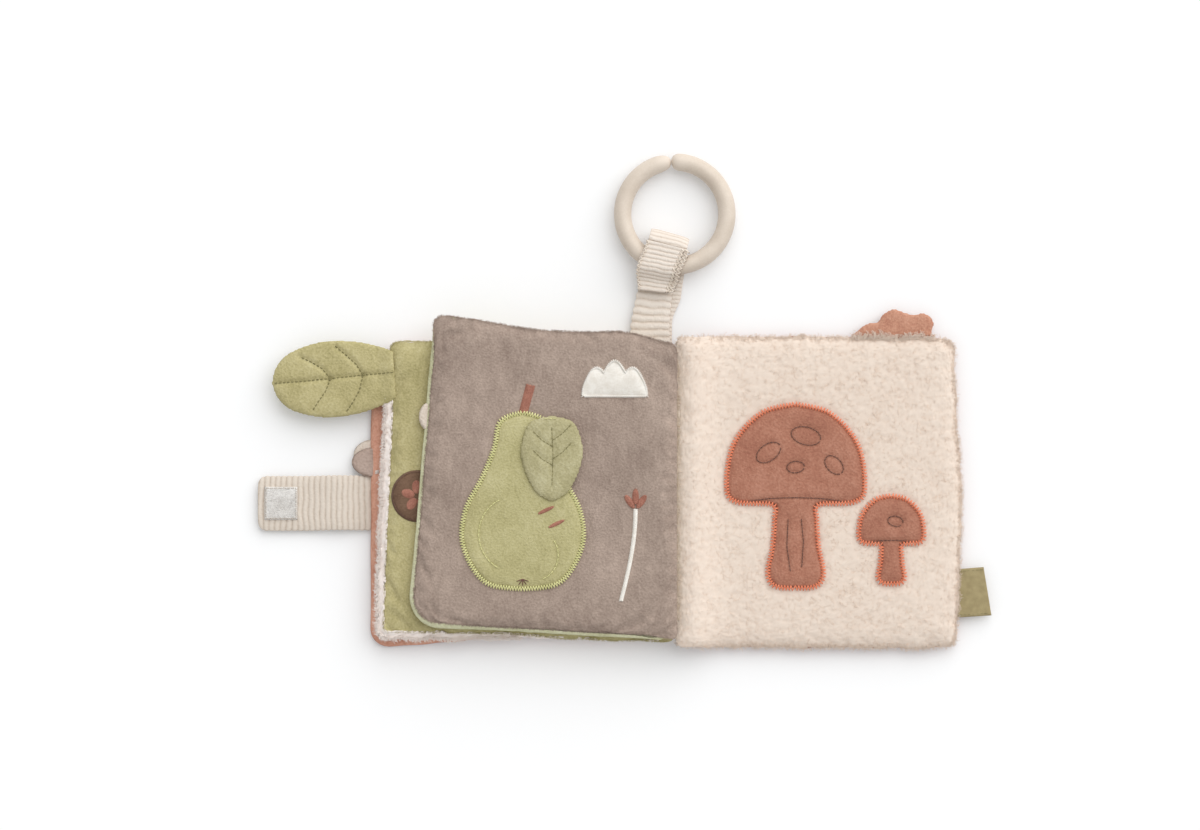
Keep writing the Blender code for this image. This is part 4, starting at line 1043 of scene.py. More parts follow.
def add_fluff():
    """Loose fibres of the sherpa along its edges and over the right page, and of the velour edges."""
    rng = random.Random(17)
    page = LEVELS["back_cover"]
    spots = []
    for x, y, way in page_rim(BACK_LINING, 7000, 18, lambda a, b: True, 0.0026):
        spots.append((Vector((x, y, mix(BACK_COVER.seam, page(x, y), rng.uniform(0.5, 1.05)))), way))
    stray_curls("back_cover_edge_fluff", spots, 0.0024, 0.00008, "cream_sherpa", "back_cover", 19, low=0.0002)
    spots = []
    for x, y, way in page_rim(BACK_LINING, 200, 27, lambda a, b: b == 1 and 0.26 < a < 0.86, 0.0012):
        spots.append((Vector((x, y, rng.uniform(0.0056, 0.0066))), way))
    stray_curls("back_cover_tab_fluff", spots, 0.0036, 0.00011, "cream_sherpa", "back_cover", 28)
    spots = []
    for _ in range(4500):
        x, y = page_place(BACK_LINING, rng.uniform(0.02, 0.98), rng.uniform(0.02, 0.98))
        turn = rng.uniform(0, math.tau)
        way = Vector((math.cos(turn), math.sin(turn), rng.uniform(0.02, 0.22))).normalized()
        spots.append((Vector((x, y, page(x, y) + rng.uniform(-0.0001, 0.0003))), way))
    spots = [spot for spot in spots if not over_picture(spot[0].x, spot[0].y)]
    stray_curls("back_cover_curls", spots, 0.0026, 0.00006, "cream_sherpa", "back_cover", 20)
    spots = []
    for x, y, way in page_rim(LEAF_1, 4200, 21, along_shaggy_side, 0.0008):
        spots.append((Vector((x, y, rng.uniform(0.0072, 0.0104))), way))
    # The fluff shares the reverse's paler sherpa, painted light.
    stray_curls("leaf_1_edge_fluff", spots, 0.0026, 0.00009, "white_sherpa", "leaf_1", 22)
    velour_fuzz("leaf_2_edge_fuzz", LEAF_2_FACE, 2600, LEAF_2_EDGE["wide"], "taupe_velour", "leaf_2", 23)
    velour_fuzz("leaf_1_edge_fuzz", LEAF_1_FACE, 2200, LEAF_1_EDGE["wide"], "green_velour", "leaf_1", 25)


def along_shaggy_side(a, b):
    """Whether a direction leads to leaf 1's fore edge or foot, where its reverse shows."""
    return (a > 0.98 and b < 0.75) or (b < -0.98 and a > 0)


def velour_fuzz(name, page, count, wide, finish, body, seed):
    """The short pile that stands off a velour face's edge, all round but for the gutter."""
    rng = random.Random(seed)
    spots = []
    for x, y, way in page_rim(page, count, seed, lambda a, b: a > -0.97, 0.0003, wide):
        spots.append((Vector((x, y, page.seam + rng.uniform(0.0008, 0.0018))), way))
    return stray_curls(name, spots, 0.0009, 0.00007, finish, body, seed)


def over_picture(x, y):
    """Whether a place lies on one of the right page's pictures."""
    for outline in (MUSHROOM, SMALL_MUSHROOM):
        if nearest_on(outline[::4], x, y)[2] > -0.0016:
            return True
    return False


# Cut cloth and stuffed shapes


def cut_cloth(outline, cell):
    """A flat grid trimmed to an outline. Its inset layer holds each point's distance in from the edge."""
    low_x, high_x, low_y, high_y = limits(outline)
    wide = high_x + cell - (low_x - cell)
    tall = high_y + cell - (low_y - cell)
    bm = unit_grid(max(int(wide / cell), 3), max(int(tall / cell), 3))
    inset = bm.verts.layers.float.new("inset")
    spare = []
    for vert in bm.verts:
        vert.co.x = mix(low_x - cell, high_x + cell, vert.co.x)
        vert.co.y = mix(low_y - cell, high_y + cell, vert.co.y)
        near_x, near_y, depth = nearest_on(outline, vert.co.x, vert.co.y)
        vert[inset] = depth
        if depth < -0.45 * cell:
            spare.append(vert)
        elif depth < 0.35 * cell:
            vert.co.x = near_x
            vert.co.y = near_y
            vert[inset] = 0
    bmesh.ops.delete(bm, geom=spare, context="VERTS")
    loose = [vert for vert in bm.verts if not vert.link_faces]
    bmesh.ops.delete(bm, geom=loose, context="VERTS")
    for vert in bm.verts:
        if vert.is_boundary and vert[inset] > 0:
            vert.co.x, vert.co.y, depth = nearest_on(outline, vert.co.x, vert.co.y)
            vert[inset] = 0
    bmesh.ops.remove_doubles(bm, verts=bm.verts, dist=cell * 0.12)
    return bm, inset


def laid_cloth(name, outline, cell, level, thick, finish, body, node, lines=(), soft=0.0, seed=1.0):
    """A cut piece laid on a face: turned-down edge, and drawn in along its stitched lines."""
    bm, inset = cut_cloth(outline, cell)
    for vert in bm.verts:
        x, y = vert.co.x, vert.co.y
        rise = 1 - math.exp(-vert[inset] / 0.0009)
        z = level(x, y) + thick * (0.30 + 0.70 * rise)
        z += rise * dents(x, y, seed, soft, 0.014)
        for path in lines:
            z -= thick * 0.5 * math.exp(-((distance_to(path, x, y) / 0.0009) ** 2))
        vert.co.z = z
    faces_up(bm)
    return add_wall(new_piece(name, bm, finish, body, [node]), thick * 0.6)


def above(level, rise):
    """A height just over a surface."""
    return lambda x, y: level(x, y) + rise


def stuffed(outline, cell, upper, lower, fall=0.0022, lines=(), groove=0.0, seed=1.0, soft=0.0):
    """A closed stuffed shape about zero height, drawn in along its stitched lines."""
    bm, inset = cut_cloth(outline, cell)
    faces_up(bm)
    copy, under = doubled(bm)
    bmesh.ops.reverse_faces(bm, faces=[item for item in copy if isinstance(item, bmesh.types.BMFace)])
    for vert in bm.verts:
        depth = max(vert[inset], 0)
        x, y = vert.co.x, vert.co.y
        swell = math.sqrt(1 - math.exp(-depth / fall * 1.3))
        for path in lines:
            swell *= 1 - groove * math.exp(-((distance_to(path, x, y) / 0.0011) ** 2))
        swell *= 1 + soft * noise.noise(Vector((x / 0.008, y / 0.008, seed)))
        vert.co.z = -lower * swell if vert in under else upper * swell
    rim = [vert for vert in bm.verts if vert[inset] <= 0]
    bmesh.ops.remove_doubles(bm, verts=rim, dist=0.00002)
    return bm


def rib_share(along, pitch):
    """0 in a groove of the ribbed cloth and 1 on a crest."""
    return abs(math.sin(math.pi * along / pitch)) ** 0.55


def band_section(across):
    """Points round a flat band: shares of its half width and half thickness."""
    points = []
    for k in range(across + 1):
        share = 1 - 2 * k / across
        points.append((share * 0.985, 0.35 + 0.65 * (1 - abs(share) ** 7)))
    points.append((-1, 0))
    points += [(share, -rise) for share, rise in reversed(points[:-1])]
    points.append((1, 0))
    return points


def ribbed_band(length, frame_at, width_at, thickness, pitch, deep, seed, fray=0.042, across=18, per_rib=8):
    """A corduroy band swept along its frames, closed at both ends."""
    section = band_section(across)
    columns = len(section)
    bm = unit_grid(columns, int(length / pitch * per_rib))
    ribs = bm.verts.layers.float.new("rib")
    for vert in bm.verts:
        share, rise = section[round(vert.co.x * columns) % columns]
        along = vert.co.y * length
        centre, aside, up = frame_at(along)
        waver = noise.noise(Vector((share * 1.6, along / 0.012, seed))) * pitch * 0.30
        rib = rib_share(along + waver, pitch)
        half = width_at(along) / 2 * (1 + fray * (rib - 0.6) * (abs(share) > 0.9))
        vert.co = centre + aside * (share * half) + up * (rise * thickness / 2 * (1 - deep * (1 - rib)))
        vert[ribs] = rib
    bmesh.ops.remove_doubles(bm, verts=bm.verts, dist=0.000002)
    bmesh.ops.holes_fill(bm, edges=[edge for edge in bm.edges if edge.is_boundary], sides=0)
    bmesh.ops.recalc_face_normals(bm, faces=bm.faces)
    return bm


# Pictures on the open pages


def arc(x, y, width, height, start, end, turn=0.0, steps=24):
    """Points on part of an ellipse, its angles in degrees."""
    points = []
    for k in range(steps + 1):
        angle = math.radians(mix(start, end, k / steps))
        points.append((width / 2 * math.cos(angle), height / 2 * math.sin(angle)))
    return moved(points, x, y, turn)


def flat_level(z):
    """The same height everywhere."""
    return lambda x, y: z


APPLIQUE_THICK = 0.0012
PEAR_FOOT = (-0.074, -0.0415)


def add_pear():
    """The pear with its contour stitches, satin bars, calyx and stem."""
    page = LEVELS["leaf_2"]
    top = above(page, APPLIQUE_THICK - 0.0001)
    cheek = arc(-0.078, -0.020, 0.034, 0.036, 115, 245)
    dimple = arc(-0.068, -0.030, 0.022, 0.024, 290, 400)
    pear = laid_cloth("pear_cloth", PEAR, 0.0012, page, APPLIQUE_THICK, "motif_green_velour", "leaf_2",
                      "pear_applique", lines=(cheek, dimple), soft=0.0002, seed=21)
    runs = zigzag(PEAR, 0.0013, 0.0012, above(page, APPLIQUE_THICK - 0.0005), 0.0004, 0.0002)
    edge = stitched("pear_zigzag", runs, 0.00024, "green_thread", "leaf_2")
    runs = dashes(cheek, 0.0016, 0.0007, top, 0.0002) + dashes(dimple, 0.0016, 0.0007, top, 0.0002)
    lines = stitched("pear_contour_stitches", runs, 0.0002, "green_thread", "leaf_2")
    runs = []
    for x, y in ((-0.0628, -0.0085), (-0.0578, -0.0150)):
        bar = ellipse(x, y, 0.0082, 0.0017, math.radians(25))
        runs += satin(bar, 0.00035, math.radians(110), top, 0.0003)
    bars = stitched("pear_satin_bars", runs, 0.00021, "rust_thread", "leaf_2")
    runs = []
    for turn in (-70, -35, 0, 35, 70):
        angle = math.radians(turn - 90)
        end = (PEAR_FOOT[0] + 0.0034 * math.cos(angle), PEAR_FOOT[1] + 0.0034 * math.sin(angle))
        runs += dashes([PEAR_FOOT, end], 0.0030, 0.0005, top, 0.0002)
    calyx = stitched("pear_calyx_stitches", runs, 0.00022, "dark_thread", "leaf_2")
    stem = moved([(-0.0021, 0), (0.0021, 0), (0.0028, 0.0140), (-0.0016, 0.0140)], -0.0738, 0.0378, -0.22)
    runs = satin(stem, 0.00036, 0, above(page, 0.0002), 0.0005)
    stitched("pear_stem_satin", runs, 0.00021, "rust_thread", "leaf_2", ["pear_stem"])


def add_cloud():
    """The cloud in satin stitch, with its short edge stitches."""
    page = LEVELS["leaf_2"]
    cloud = []
    for k in range(61):
        share = k / 60
        bump = mix(0.70, 1, abs(math.sin(3 * math.pi * share)))
        cloud.append((mix(-0.031, 0.031, share) / 2, 0.017 * math.sin(math.pi * share) ** 0.4 * bump))
    cloud = moved(cloud, -0.030, 0.046)
    runs = satin(cloud, 0.00040, math.radians(62), above(page, 0.0002), 0.0005)
    runs += zigzag(cloud, 0.0009, 0.0006, above(page, 0.0003), 0.0004)
    stitched("cloud_satin", runs, 0.00022, "cream_thread", "leaf_2", ["cloud_embroidery"])


def add_sprig():
    """The sprig's curved stalk and its three buds."""
    skin = above(LEVELS["leaf_2"], 0.0002)
    half = 0.0009
    line = [(-0.027 + 0.007 * math.sin(math.pi * k / 40), -0.052 + 0.044 * k / 20) for k in range(21)]
    stalk = [(x + half, y) for x, y in line] + [(x - half, y) for x, y in reversed(line)]
    runs = satin(stalk, 0.00034, 0.5, skin, 0.0004)
    stitched("sprig_satin", runs, 0.00022, "cream_thread", "leaf_2", ["sprig_embroidery"])
    runs = []
    for x, y, turn in ((-0.0228, -0.0045, 125), (-0.0172, -0.0045, 55), (-0.0200, -0.0020, 90)):
        petal = ellipse(x, y, 0.0074, 0.0030, math.radians(turn))
        runs += satin(petal, 0.00036, math.radians(turn + 90), skin, 0.0005)
    stitched("sprig_bud_satin", runs, 0.00022, "rust_thread", "leaf_2")


def mushroom(name, outline, cell, lines, seed):
    """A mushroom cut from velour, its zigzag edge and its running stitches."""
    page = above(LEVELS["back_cover"], 0.0003)
    top = above(page, APPLIQUE_THICK - 0.0002)
    piece = laid_cloth(name + "_cloth", outline, cell, page, APPLIQUE_THICK, "motif_rust_velour",
                       "back_cover", name + "_applique", lines=lines, soft=0.0002, seed=seed)
    runs = zigzag(outline, 0.0015, 0.0012, top, 0.0005, 0.0002)
    edge = stitched(name + "_zigzag", runs, 0.00024, "coral_thread", "back_cover")
    runs = []
    for path in lines:
        runs += dashes(path, 0.0015, 0.0005, top, 0.00025)
    detail = stitched(name + "_stitches", runs, 0.00021, "dark_thread", "back_cover")


def add_mushrooms():
    """The two mushrooms on the curly page."""
    gills = [
        arc(0.057, -0.0062, 0.050, 0.007, 160, 20),
        [(0.0545, -0.038), (0.0528, -0.026), (0.0535, -0.012)],
        [(0.0600, -0.036), (0.0608, -0.024), (0.0598, -0.013)],
    ]
    spots = [
        ellipse(0.0440, 0.019, 0.0130, 0.0080, 0.6),
        ellipse(0.0620, 0.027, 0.0145, 0.0085, -0.25),
        ellipse(0.0755, 0.013, 0.0105, 0.0070, -0.8),
        ellipse(0.0570, 0.012, 0.0085, 0.0055, 0.1),
    ]
    closed = [spot + spot[:1] for spot in spots]
    mushroom("large_mushroom", MUSHROOM, 0.0012, closed + gills, 31)
    dot = ellipse(0.1050, -0.0140, 0.0074, 0.0048, -0.2)
    rim = arc(0.103, -0.0252, 0.022, 0.004, 160, 20)
    mushroom("small_mushroom", SMALL_MUSHROOM, 0.0010, [dot + dot[:1], rim], 32)


BADGE_X = -0.1248
BADGE_Y = -0.0019
BADGE_WIDTH = 0.025
BADGE_THICK = 0.0008


def add_badge():
    """The felt badge with a satin flower, half under leaf 2."""
    page = LEVELS["leaf_1"]
    top = above(page, BADGE_THICK)
    disc = ellipse(BADGE_X, BADGE_Y, BADGE_WIDTH, BADGE_WIDTH)
    badge = laid_cloth("badge_felt", disc, 0.0012, page, BADGE_THICK, "brown_badge", "leaf_1", "badge")
    runs = []
    for k in range(5):
        angle = math.tau * k / 5 + 0.35
        x = BADGE_X + 0.0044 * math.cos(angle)
        y = BADGE_Y + 0.0044 * math.sin(angle)
        runs += satin(ellipse(x, y, 0.0062, 0.0042, angle), 0.00036, angle + math.pi / 2, top, 0.0002)
    flower = stitched("badge_flower", runs, 0.00021, "rust_thread", "leaf_1")
    rim = ellipse(BADGE_X, BADGE_Y, BADGE_WIDTH - 0.0018, BADGE_WIDTH - 0.0018)
    runs = dashes(rim + rim[:1], 0.0015, 0.0005, top, 0.0001)
    ring = stitched("badge_edge_stitches", runs, 0.00014, "dark_thread", "leaf_1")


def add_lift_flap():
    """The stuffed leaf that lifts off the pear, hinged along its top."""
    leaf = mirrored_outline(LEAF_WIDTH_SHARES, LEAF_HEIGHT_SHARES, 0.030, 0.042)
    veins = [[(0, -0.006), (0.0006, -0.020), (0, -0.035)]]
    for y, side in ((-0.012, 1), (-0.015, -1), (-0.021, 1), (-0.024, -1)):
        veins.append([(0.0004, y), (side * 0.0048, y + 0.0030), (side * 0.0092, y + 0.0075)])
    bm = stuffed(leaf, 0.0010, upper=0.0016, lower=0.0012, fall=0.0042, lines=veins, groove=0.30, seed=41,
                 soft=0.08)
    place = Matrix.Translation((-0.060, 0.037, 0.0221))
    bm.transform(place)
    flap = new_piece("lift_flap_cushion", bm, "pale_green_velour", "lift_flap", ["lift_flap"])
    add_rounding(flap)
    runs = []
    for vein in veins:
        runs += dashes(vein, 0.0016, 0.0006, flat_level(0.0012), 0.0001)
    stitched("lift_flap_vein_stitches", placed(runs, place), 0.00016, "olive_thread", "lift_flap")
    bar = dashes([(-0.0636, 0.0354), (-0.0564, 0.0354)], 0.0016, 0.0004, flat_level(0.0231), 0.0002)
    stitched("lift_flap_seam_stitches", bar, 0.00018, "green_thread", "lift_flap")


# Tabs, label and straps

LEAF_TAB_WIDTH_SHARES = (0.0, 0.40, 0.74, 0.96, 1.0, 0.92, 0.74)
LEAF_TAB_LENGTH_SHARES = (1.0, 0.955, 0.84, 0.62, 0.42, 0.20, 0.0)
LEAF_TAB_LENGTH = 0.055
LEAF_TAB_WIDTH = 0.037
LEAF_TAB_ROOT = [(0.0022, 0.0126), (0.0048, 0.0112)]
LEAF_TAB_VEINS = (
    [(0.004, 0.0012), (-0.0106, 0.0010), (-0.0264, 0.0004), (-0.040, 0.0), (-0.0535, 0.0)],
    [(-0.0106, 0.0010), (-0.0138, 0.0066), (-0.0190, 0.0120), (-0.0232, 0.0160)],
    [(-0.0106, 0.0010), (-0.0128, -0.0062), (-0.0164, -0.0118), (-0.0196, -0.0158)],
    [(-0.0264, 0.0004), (-0.0302, 0.0056), (-0.0355, 0.0092), (-0.0410, 0.0122)],
    [(-0.0264, 0.0004), (-0.0290, -0.0054), (-0.0330, -0.0104), (-0.0362, -0.0146)],
)


def tuck(x):
    """How far the leaf tab rises at its root, where it goes into the seam."""
    return 0.0017 * ease((x + 0.004) / 0.007)


def add_leaf_tab():
    """The quilted leaf in leaf 1's fore edge."""
    half = [(-x * LEAF_TAB_LENGTH, y * LEAF_TAB_WIDTH / 2)
            for x, y in smooth_pairs(LEAF_TAB_LENGTH_SHARES, LEAF_TAB_WIDTH_SHARES, 10)]
    outline = half + LEAF_TAB_ROOT + [(x, -y) for x, y in reversed(half[1:] + LEAF_TAB_ROOT)]
    bm = stuffed(outline, 0.0008, upper=0.0020, lower=0.0017, fall=0.0034, lines=LEAF_TAB_VEINS, groove=0.45,
                 seed=51, soft=0.08)
    for vert in bm.verts:
        vert.co.z = vert.co.z * (1 - 0.45 * ease((vert.co.x + 0.006) / 0.008)) + tuck(vert.co.x)
    turn = Matrix.Rotation(math.radians(4), 4, "Z") @ Matrix.Rotation(-math.radians(1), 4, "Y")
    place = Matrix.Translation((-0.140129, 0.0560, 0.0093)) @ turn
    bm.transform(place)
    tab = new_piece("leaf_tab_cushion", bm, "green_velour", None, ["leaf_tab"])
    add_rounding(tab)
    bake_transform(tab)
    runs = []
    for vein in LEAF_TAB_VEINS:
        runs += dashes(vein, 0.0013, 0.0008, lambda x, y: 0.00125 + tuck(x), 0.0002)
    seams = stitched("leaf_tab_vein_stitches", placed(runs, place), 0.00025, "olive_thread", None)
    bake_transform(seams)


SCALLOP_POINTS = (
    (0.0006, -0.0010), (0.0022, 0.0038), (0.0063, 0.0064), (0.0106, 0.0070), (0.0132, 0.0106),
    (0.0184, 0.0133), (0.0241, 0.0115), (0.0282, 0.0106), (0.0328, 0.0113), (0.0366, 0.0092),
    (0.0380, 0.0058), (0.0368, 0.0022), (0.0350, -0.0010),
)


def half_round(reach, width, steps=30):
    """Half an ellipse, its flat side on zero, reaching towards minus X."""
    points = []
    for k in range(steps + 1):
        angle = math.pi / 2 + math.pi * k / steps
        points.append((reach * math.cos(angle), width / 2 * math.sin(angle)))
    return points


ROUND_TAB_PLIES = (
    ("round_tab_velour", "tab_taupe_velour", "round_tab_face", 0.00299, 0.0142, 0.0108, 0.0142),
    ("round_tab_backing_cloth", "plain_cream", "round_tab_backing", 0.00139, 0.0178, 0.0100, 0.0150),
)
ROUND_TAB_X = -0.145878
TAB_ROOT = 0.0010


def add_small_tabs():
    """The round tab with its backing, the small cream tab and the wavy tab."""
    for name, finish, node, level, middle, reach, width in ROUND_TAB_PLIES:
        root = [(TAB_ROOT, -width / 2), (TAB_ROOT, width / 2)]
        outline = moved(half_round(reach, width) + root, ROUND_TAB_X, middle)
        bm = stuffed(outline, 0.0008, upper=0.00075, lower=0.00060, fall=0.0014, seed=61)
        bm.transform(Matrix.Translation((0, 0, level)))
        ply = new_piece(name, bm, finish, "round_tab", [node])
    low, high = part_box("small_tab")
    outline = moved(half_round(high.x - low.x + 0.0018, high.y - low.y), high.x, (low.y + high.y) / 2)
    bm = stuffed(outline, 0.0006, upper=0.0009, lower=0.0008, fall=0.0010, seed=62)
    bm.transform(Matrix.Translation((0, 0, (low.z + high.z) / 2)))
    tab = new_piece("small_tab_cloth", bm, "plain_cream", "leaf_2", ["small_tab"])
    low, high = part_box("scallop_tab")
    outline = moved(smooth_loop(SCALLOP_POINTS), low.x, low.y)
    bm = stuffed(outline, 0.0009, upper=0.0017, lower=0.0014, fall=0.0022, seed=63, soft=0.15)
    bm.transform(Matrix.Translation((0, 0, (low.z + high.z) / 2)))
    wavy = new_piece("scallop_tab_cushion", bm, "pale_rust_velour", "scallop_tab", ["scallop_tab"])
    add_rounding(wavy)


LABEL_HEIGHT = 0.0233


def label_place(low, reach, u, v):
    """A place on the label from its shares out and up: it was sewn in a little askew."""
    return low.x + u * (reach + 0.0014 - 0.0038 * v), low.y + v * LABEL_HEIGHT + u * 0.0010


def add_label():
    """The bare woven label, folded double."""
    low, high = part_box("side_label")
    middle_z = (low.z + high.z) / 2
    bm = unit_grid(24, 24)
    reach = high.x - low.x
    for vert in bm.verts:
        u, v = vert.co.x, vert.co.y
        curl = 0.0003 * math.sin(math.pi * u) + 0.0002 * noise.noise(Vector((u * 3, v * 3, 71)))
        vert.co = *label_place(low, reach, u, v), middle_z + curl
    label = new_piece("side_label_ribbon", bm, "olive_label", "side_label", ["side_label"])
    add_wall(label, 0.0007, 0)
    edges = []
    for v in (0.05, 0.95):
        path = [label_place(low, reach, u, v) for u in (0.06, 0.5, 0.96)]
        edges += dashes(path, 0.0014, 0.0007, flat_level(middle_z + 0.00055), 0.0001)
    seam = stitched("side_label_stitches", edges, 0.00012, "olive_thread", "side_label")


STRAP_ROOT_X = -0.145817
STRAP_TIP_X = -0.202017
STRAP_FOLD_X = -0.180037
STRAP_Y = -0.0055
STRAP_WIDTH = 0.0264
STRAP_CORNER = 0.0045
BRISTLES_A_SIDE = 26


def strap_rise(x):
    """How far the closing strap springs up off the table: a low hump on its root part, then nearly flat."""
    out = (STRAP_ROOT_X - x) / (STRAP_ROOT_X - STRAP_FOLD_X)
    return 0.0022 * ease(out / 0.55) * (1 - 0.6 * ease((out - 0.45) / 0.55))


def sprung(bm):
    """Carry a flat shape up with the strap."""
    for vert in bm.verts:
        vert.co.z += strap_rise(vert.co.x)
    return bm


def add_closing_strap():
    """The corduroy strap, in one piece through its fold line, and its hook patch."""
    root_x = STRAP_ROOT_X + 0.0008
    length = root_x - STRAP_TIP_X

    def frame_at(along):
        lift = 0.0001 + strap_rise(root_x - along)
        sway = 0.0004 * noise.noise(Vector((along / 0.018, 2.2, 4.4)))
        return Vector((root_x - along, STRAP_Y + sway, 0.0010 + lift)), Vector((0, 1, 0)), Vector((0, 0, 1))

    def width_at(along):
        left = min(length - along, STRAP_CORNER)
        cut = STRAP_CORNER - math.sqrt(max(STRAP_CORNER**2 - (STRAP_CORNER - left) ** 2, 0))
        return STRAP_WIDTH - 2 * cut

    bm = ribbed_band(length, frame_at, width_at, thickness=0.0021, pitch=0.0027, deep=0.42, seed=81)
    # The strap takes the darker copy of the corduroy, as painted shade.
    strap = new_piece("closing_strap_corduroy", bm, "strap_corduroy", None,
                      ["closing_strap_root", "closing_strap_tip"])
    add_rounding(strap)
    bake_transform(strap)
    low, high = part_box("closing_hook_patch")
    pad = sprung(box_patch(low, high, 0.0007, 82))
    patch = new_piece("closing_hook_pad", pad, "hook_tape", "closing_strap_tip", ["closing_hook_patch"])
    low_x, high_x = low.x + 0.0006, high.x - 0.0006
    low_y, high_y = low.y + 0.0006, high.y - 0.0006
    rng = random.Random(5)
    hooks = []
    for k in range(BRISTLES_A_SIDE):
        for n in range(BRISTLES_A_SIDE):
            x = mix(low_x, high_x, (k + rng.uniform(0.1, 0.9)) / BRISTLES_A_SIDE)
            y = mix(low_y, high_y, (n + rng.uniform(0.1, 0.9)) / BRISTLES_A_SIDE)
            turn = rng.uniform(0, math.tau)
            dx = 0.00035 * math.cos(turn)
            dy = 0.00035 * math.sin(turn)
            foot = high.z - 0.0004 + strap_rise(x)
            top = foot + 0.0008
            hooks.append([(x, y, foot), (x + dx * 0.4, y + dy * 0.4, top), (x + dx, y + dy, top - 0.0002)])
    fuzz = stitched("closing_hook_bristles", hooks, 0.00014, "white_hook_tape", "closing_strap_tip", sides=0)
    square = [(low_x, low_y), (high_x, low_y), (high_x, high_y), (low_x, high_y), (low_x, low_y)]
    runs = dashes(square, 0.0017, 0.0006, lambda x, y: high.z - 0.0001 + strap_rise(x), 0.0002)
    seam = stitched("closing_hook_stitches", runs, 0.00024, "seam_thread", "closing_strap_tip")


def box_patch(low, high, edge, seed):
    """A thin fuzzy pad in a box, its rim rounded down."""
    middle = (low.z + high.z) / 2
    corners = [(low.x, low.y), (high.x, low.y), (high.x, high.y), (low.x, high.y)]
    bm = stuffed(corners, 0.0005, upper=high.z - middle, lower=middle - low.z, fall=edge, seed=seed,
                 soft=0.25)
    bm.transform(Matrix.Translation((0, 0, middle)))
    return bm


HANGER_X = -0.0118
HANGER_ROOT_Y = 0.0759
HANGER_RUN = 0.0500
HANGER_LEAN = math.radians(16)
HANGER_LOW = 0.0008
HANGER_HIGH = 0.0114
HANGER_TURN = 0.0439
FLAP_END_Z = 0.0068
TAPE_CORNERS = [(0.0205, -0.0065), (0.0252, -0.0065), (0.0252, 0.0065), (0.0205, 0.0065)]


def hanger_point(along, aside, z):
    """A place on the hanging strap, which bends evenly to the right as it runs up."""
    bend = HANGER_RUN / HANGER_LEAN
    angle = along / bend
    x = HANGER_X + bend * (1 - math.cos(angle)) + aside * math.cos(angle)
    y = HANGER_ROOT_Y + bend * math.sin(angle) - aside * math.sin(angle)
    return Vector((x, y, z))


def hanger_frames(route, beside):
    """Frames along a smooth route of (along, z) points on the hanging strap, and its length."""
    fine = resample(route, 0.0004)
    spots = [hanger_point(along, beside(along), z) for along, z in fine]
    sides = [(hanger_point(along, 1, z) - hanger_point(along, 0, z)).normalized() for along, z in fine]
    lengths = [0.0]
    for a, b in zip(spots, spots[1:]):
        lengths.append(lengths[-1] + (b - a).length)

    def frame_at(along):
        at = min(int(along / lengths[-1] * (len(spots) - 1)), len(spots) - 2)
        share = min(max((along - lengths[at]) / (lengths[at + 1] - lengths[at]), -0.5), 1.5)
        centre = spots[at].lerp(spots[at + 1], share)
        before = spots[max(at - 2, 0)]
        after = spots[min(at + 3, len(spots) - 1)]
        up = sides[at].cross((after - before).normalized()).normalized()
        return centre, sides[at], up

    return frame_at, lengths[-1]


def rounded_route(route, rounds=3):
    """Cut the corners off a route."""
    for _ in range(rounds):
        smooth = [route[0]]
        for (a, z), (b, y) in zip(route, route[1:]):
            smooth.append((mix(a, b, 0.25), mix(z, y, 0.25)))
            smooth.append((mix(a, b, 0.75), mix(z, y, 0.75)))
        smooth.append(route[-1])
        route = smooth
    return route


def strap_side(along):
    """How far the under layer runs to the right of the strap's middle."""
    return 0.0034 * ease((along - 0.006) / 0.014) - 0.0014 * ease((along - 0.0365) / 0.006)


def base_side(along):
    """How far the base lies to the left at its root."""
    return -0.0013 * (1 - ease(along / 0.022))


def flap_side(along):
    """How far the flap runs to the right at its fold."""
    return 0.0020 * ease((along - 0.030) / 0.0125)


def flap_width(along):
    """The flap's width, drawn in at its loose end."""
    return mix(0.0162, 0.0202, ease(along / 0.010))


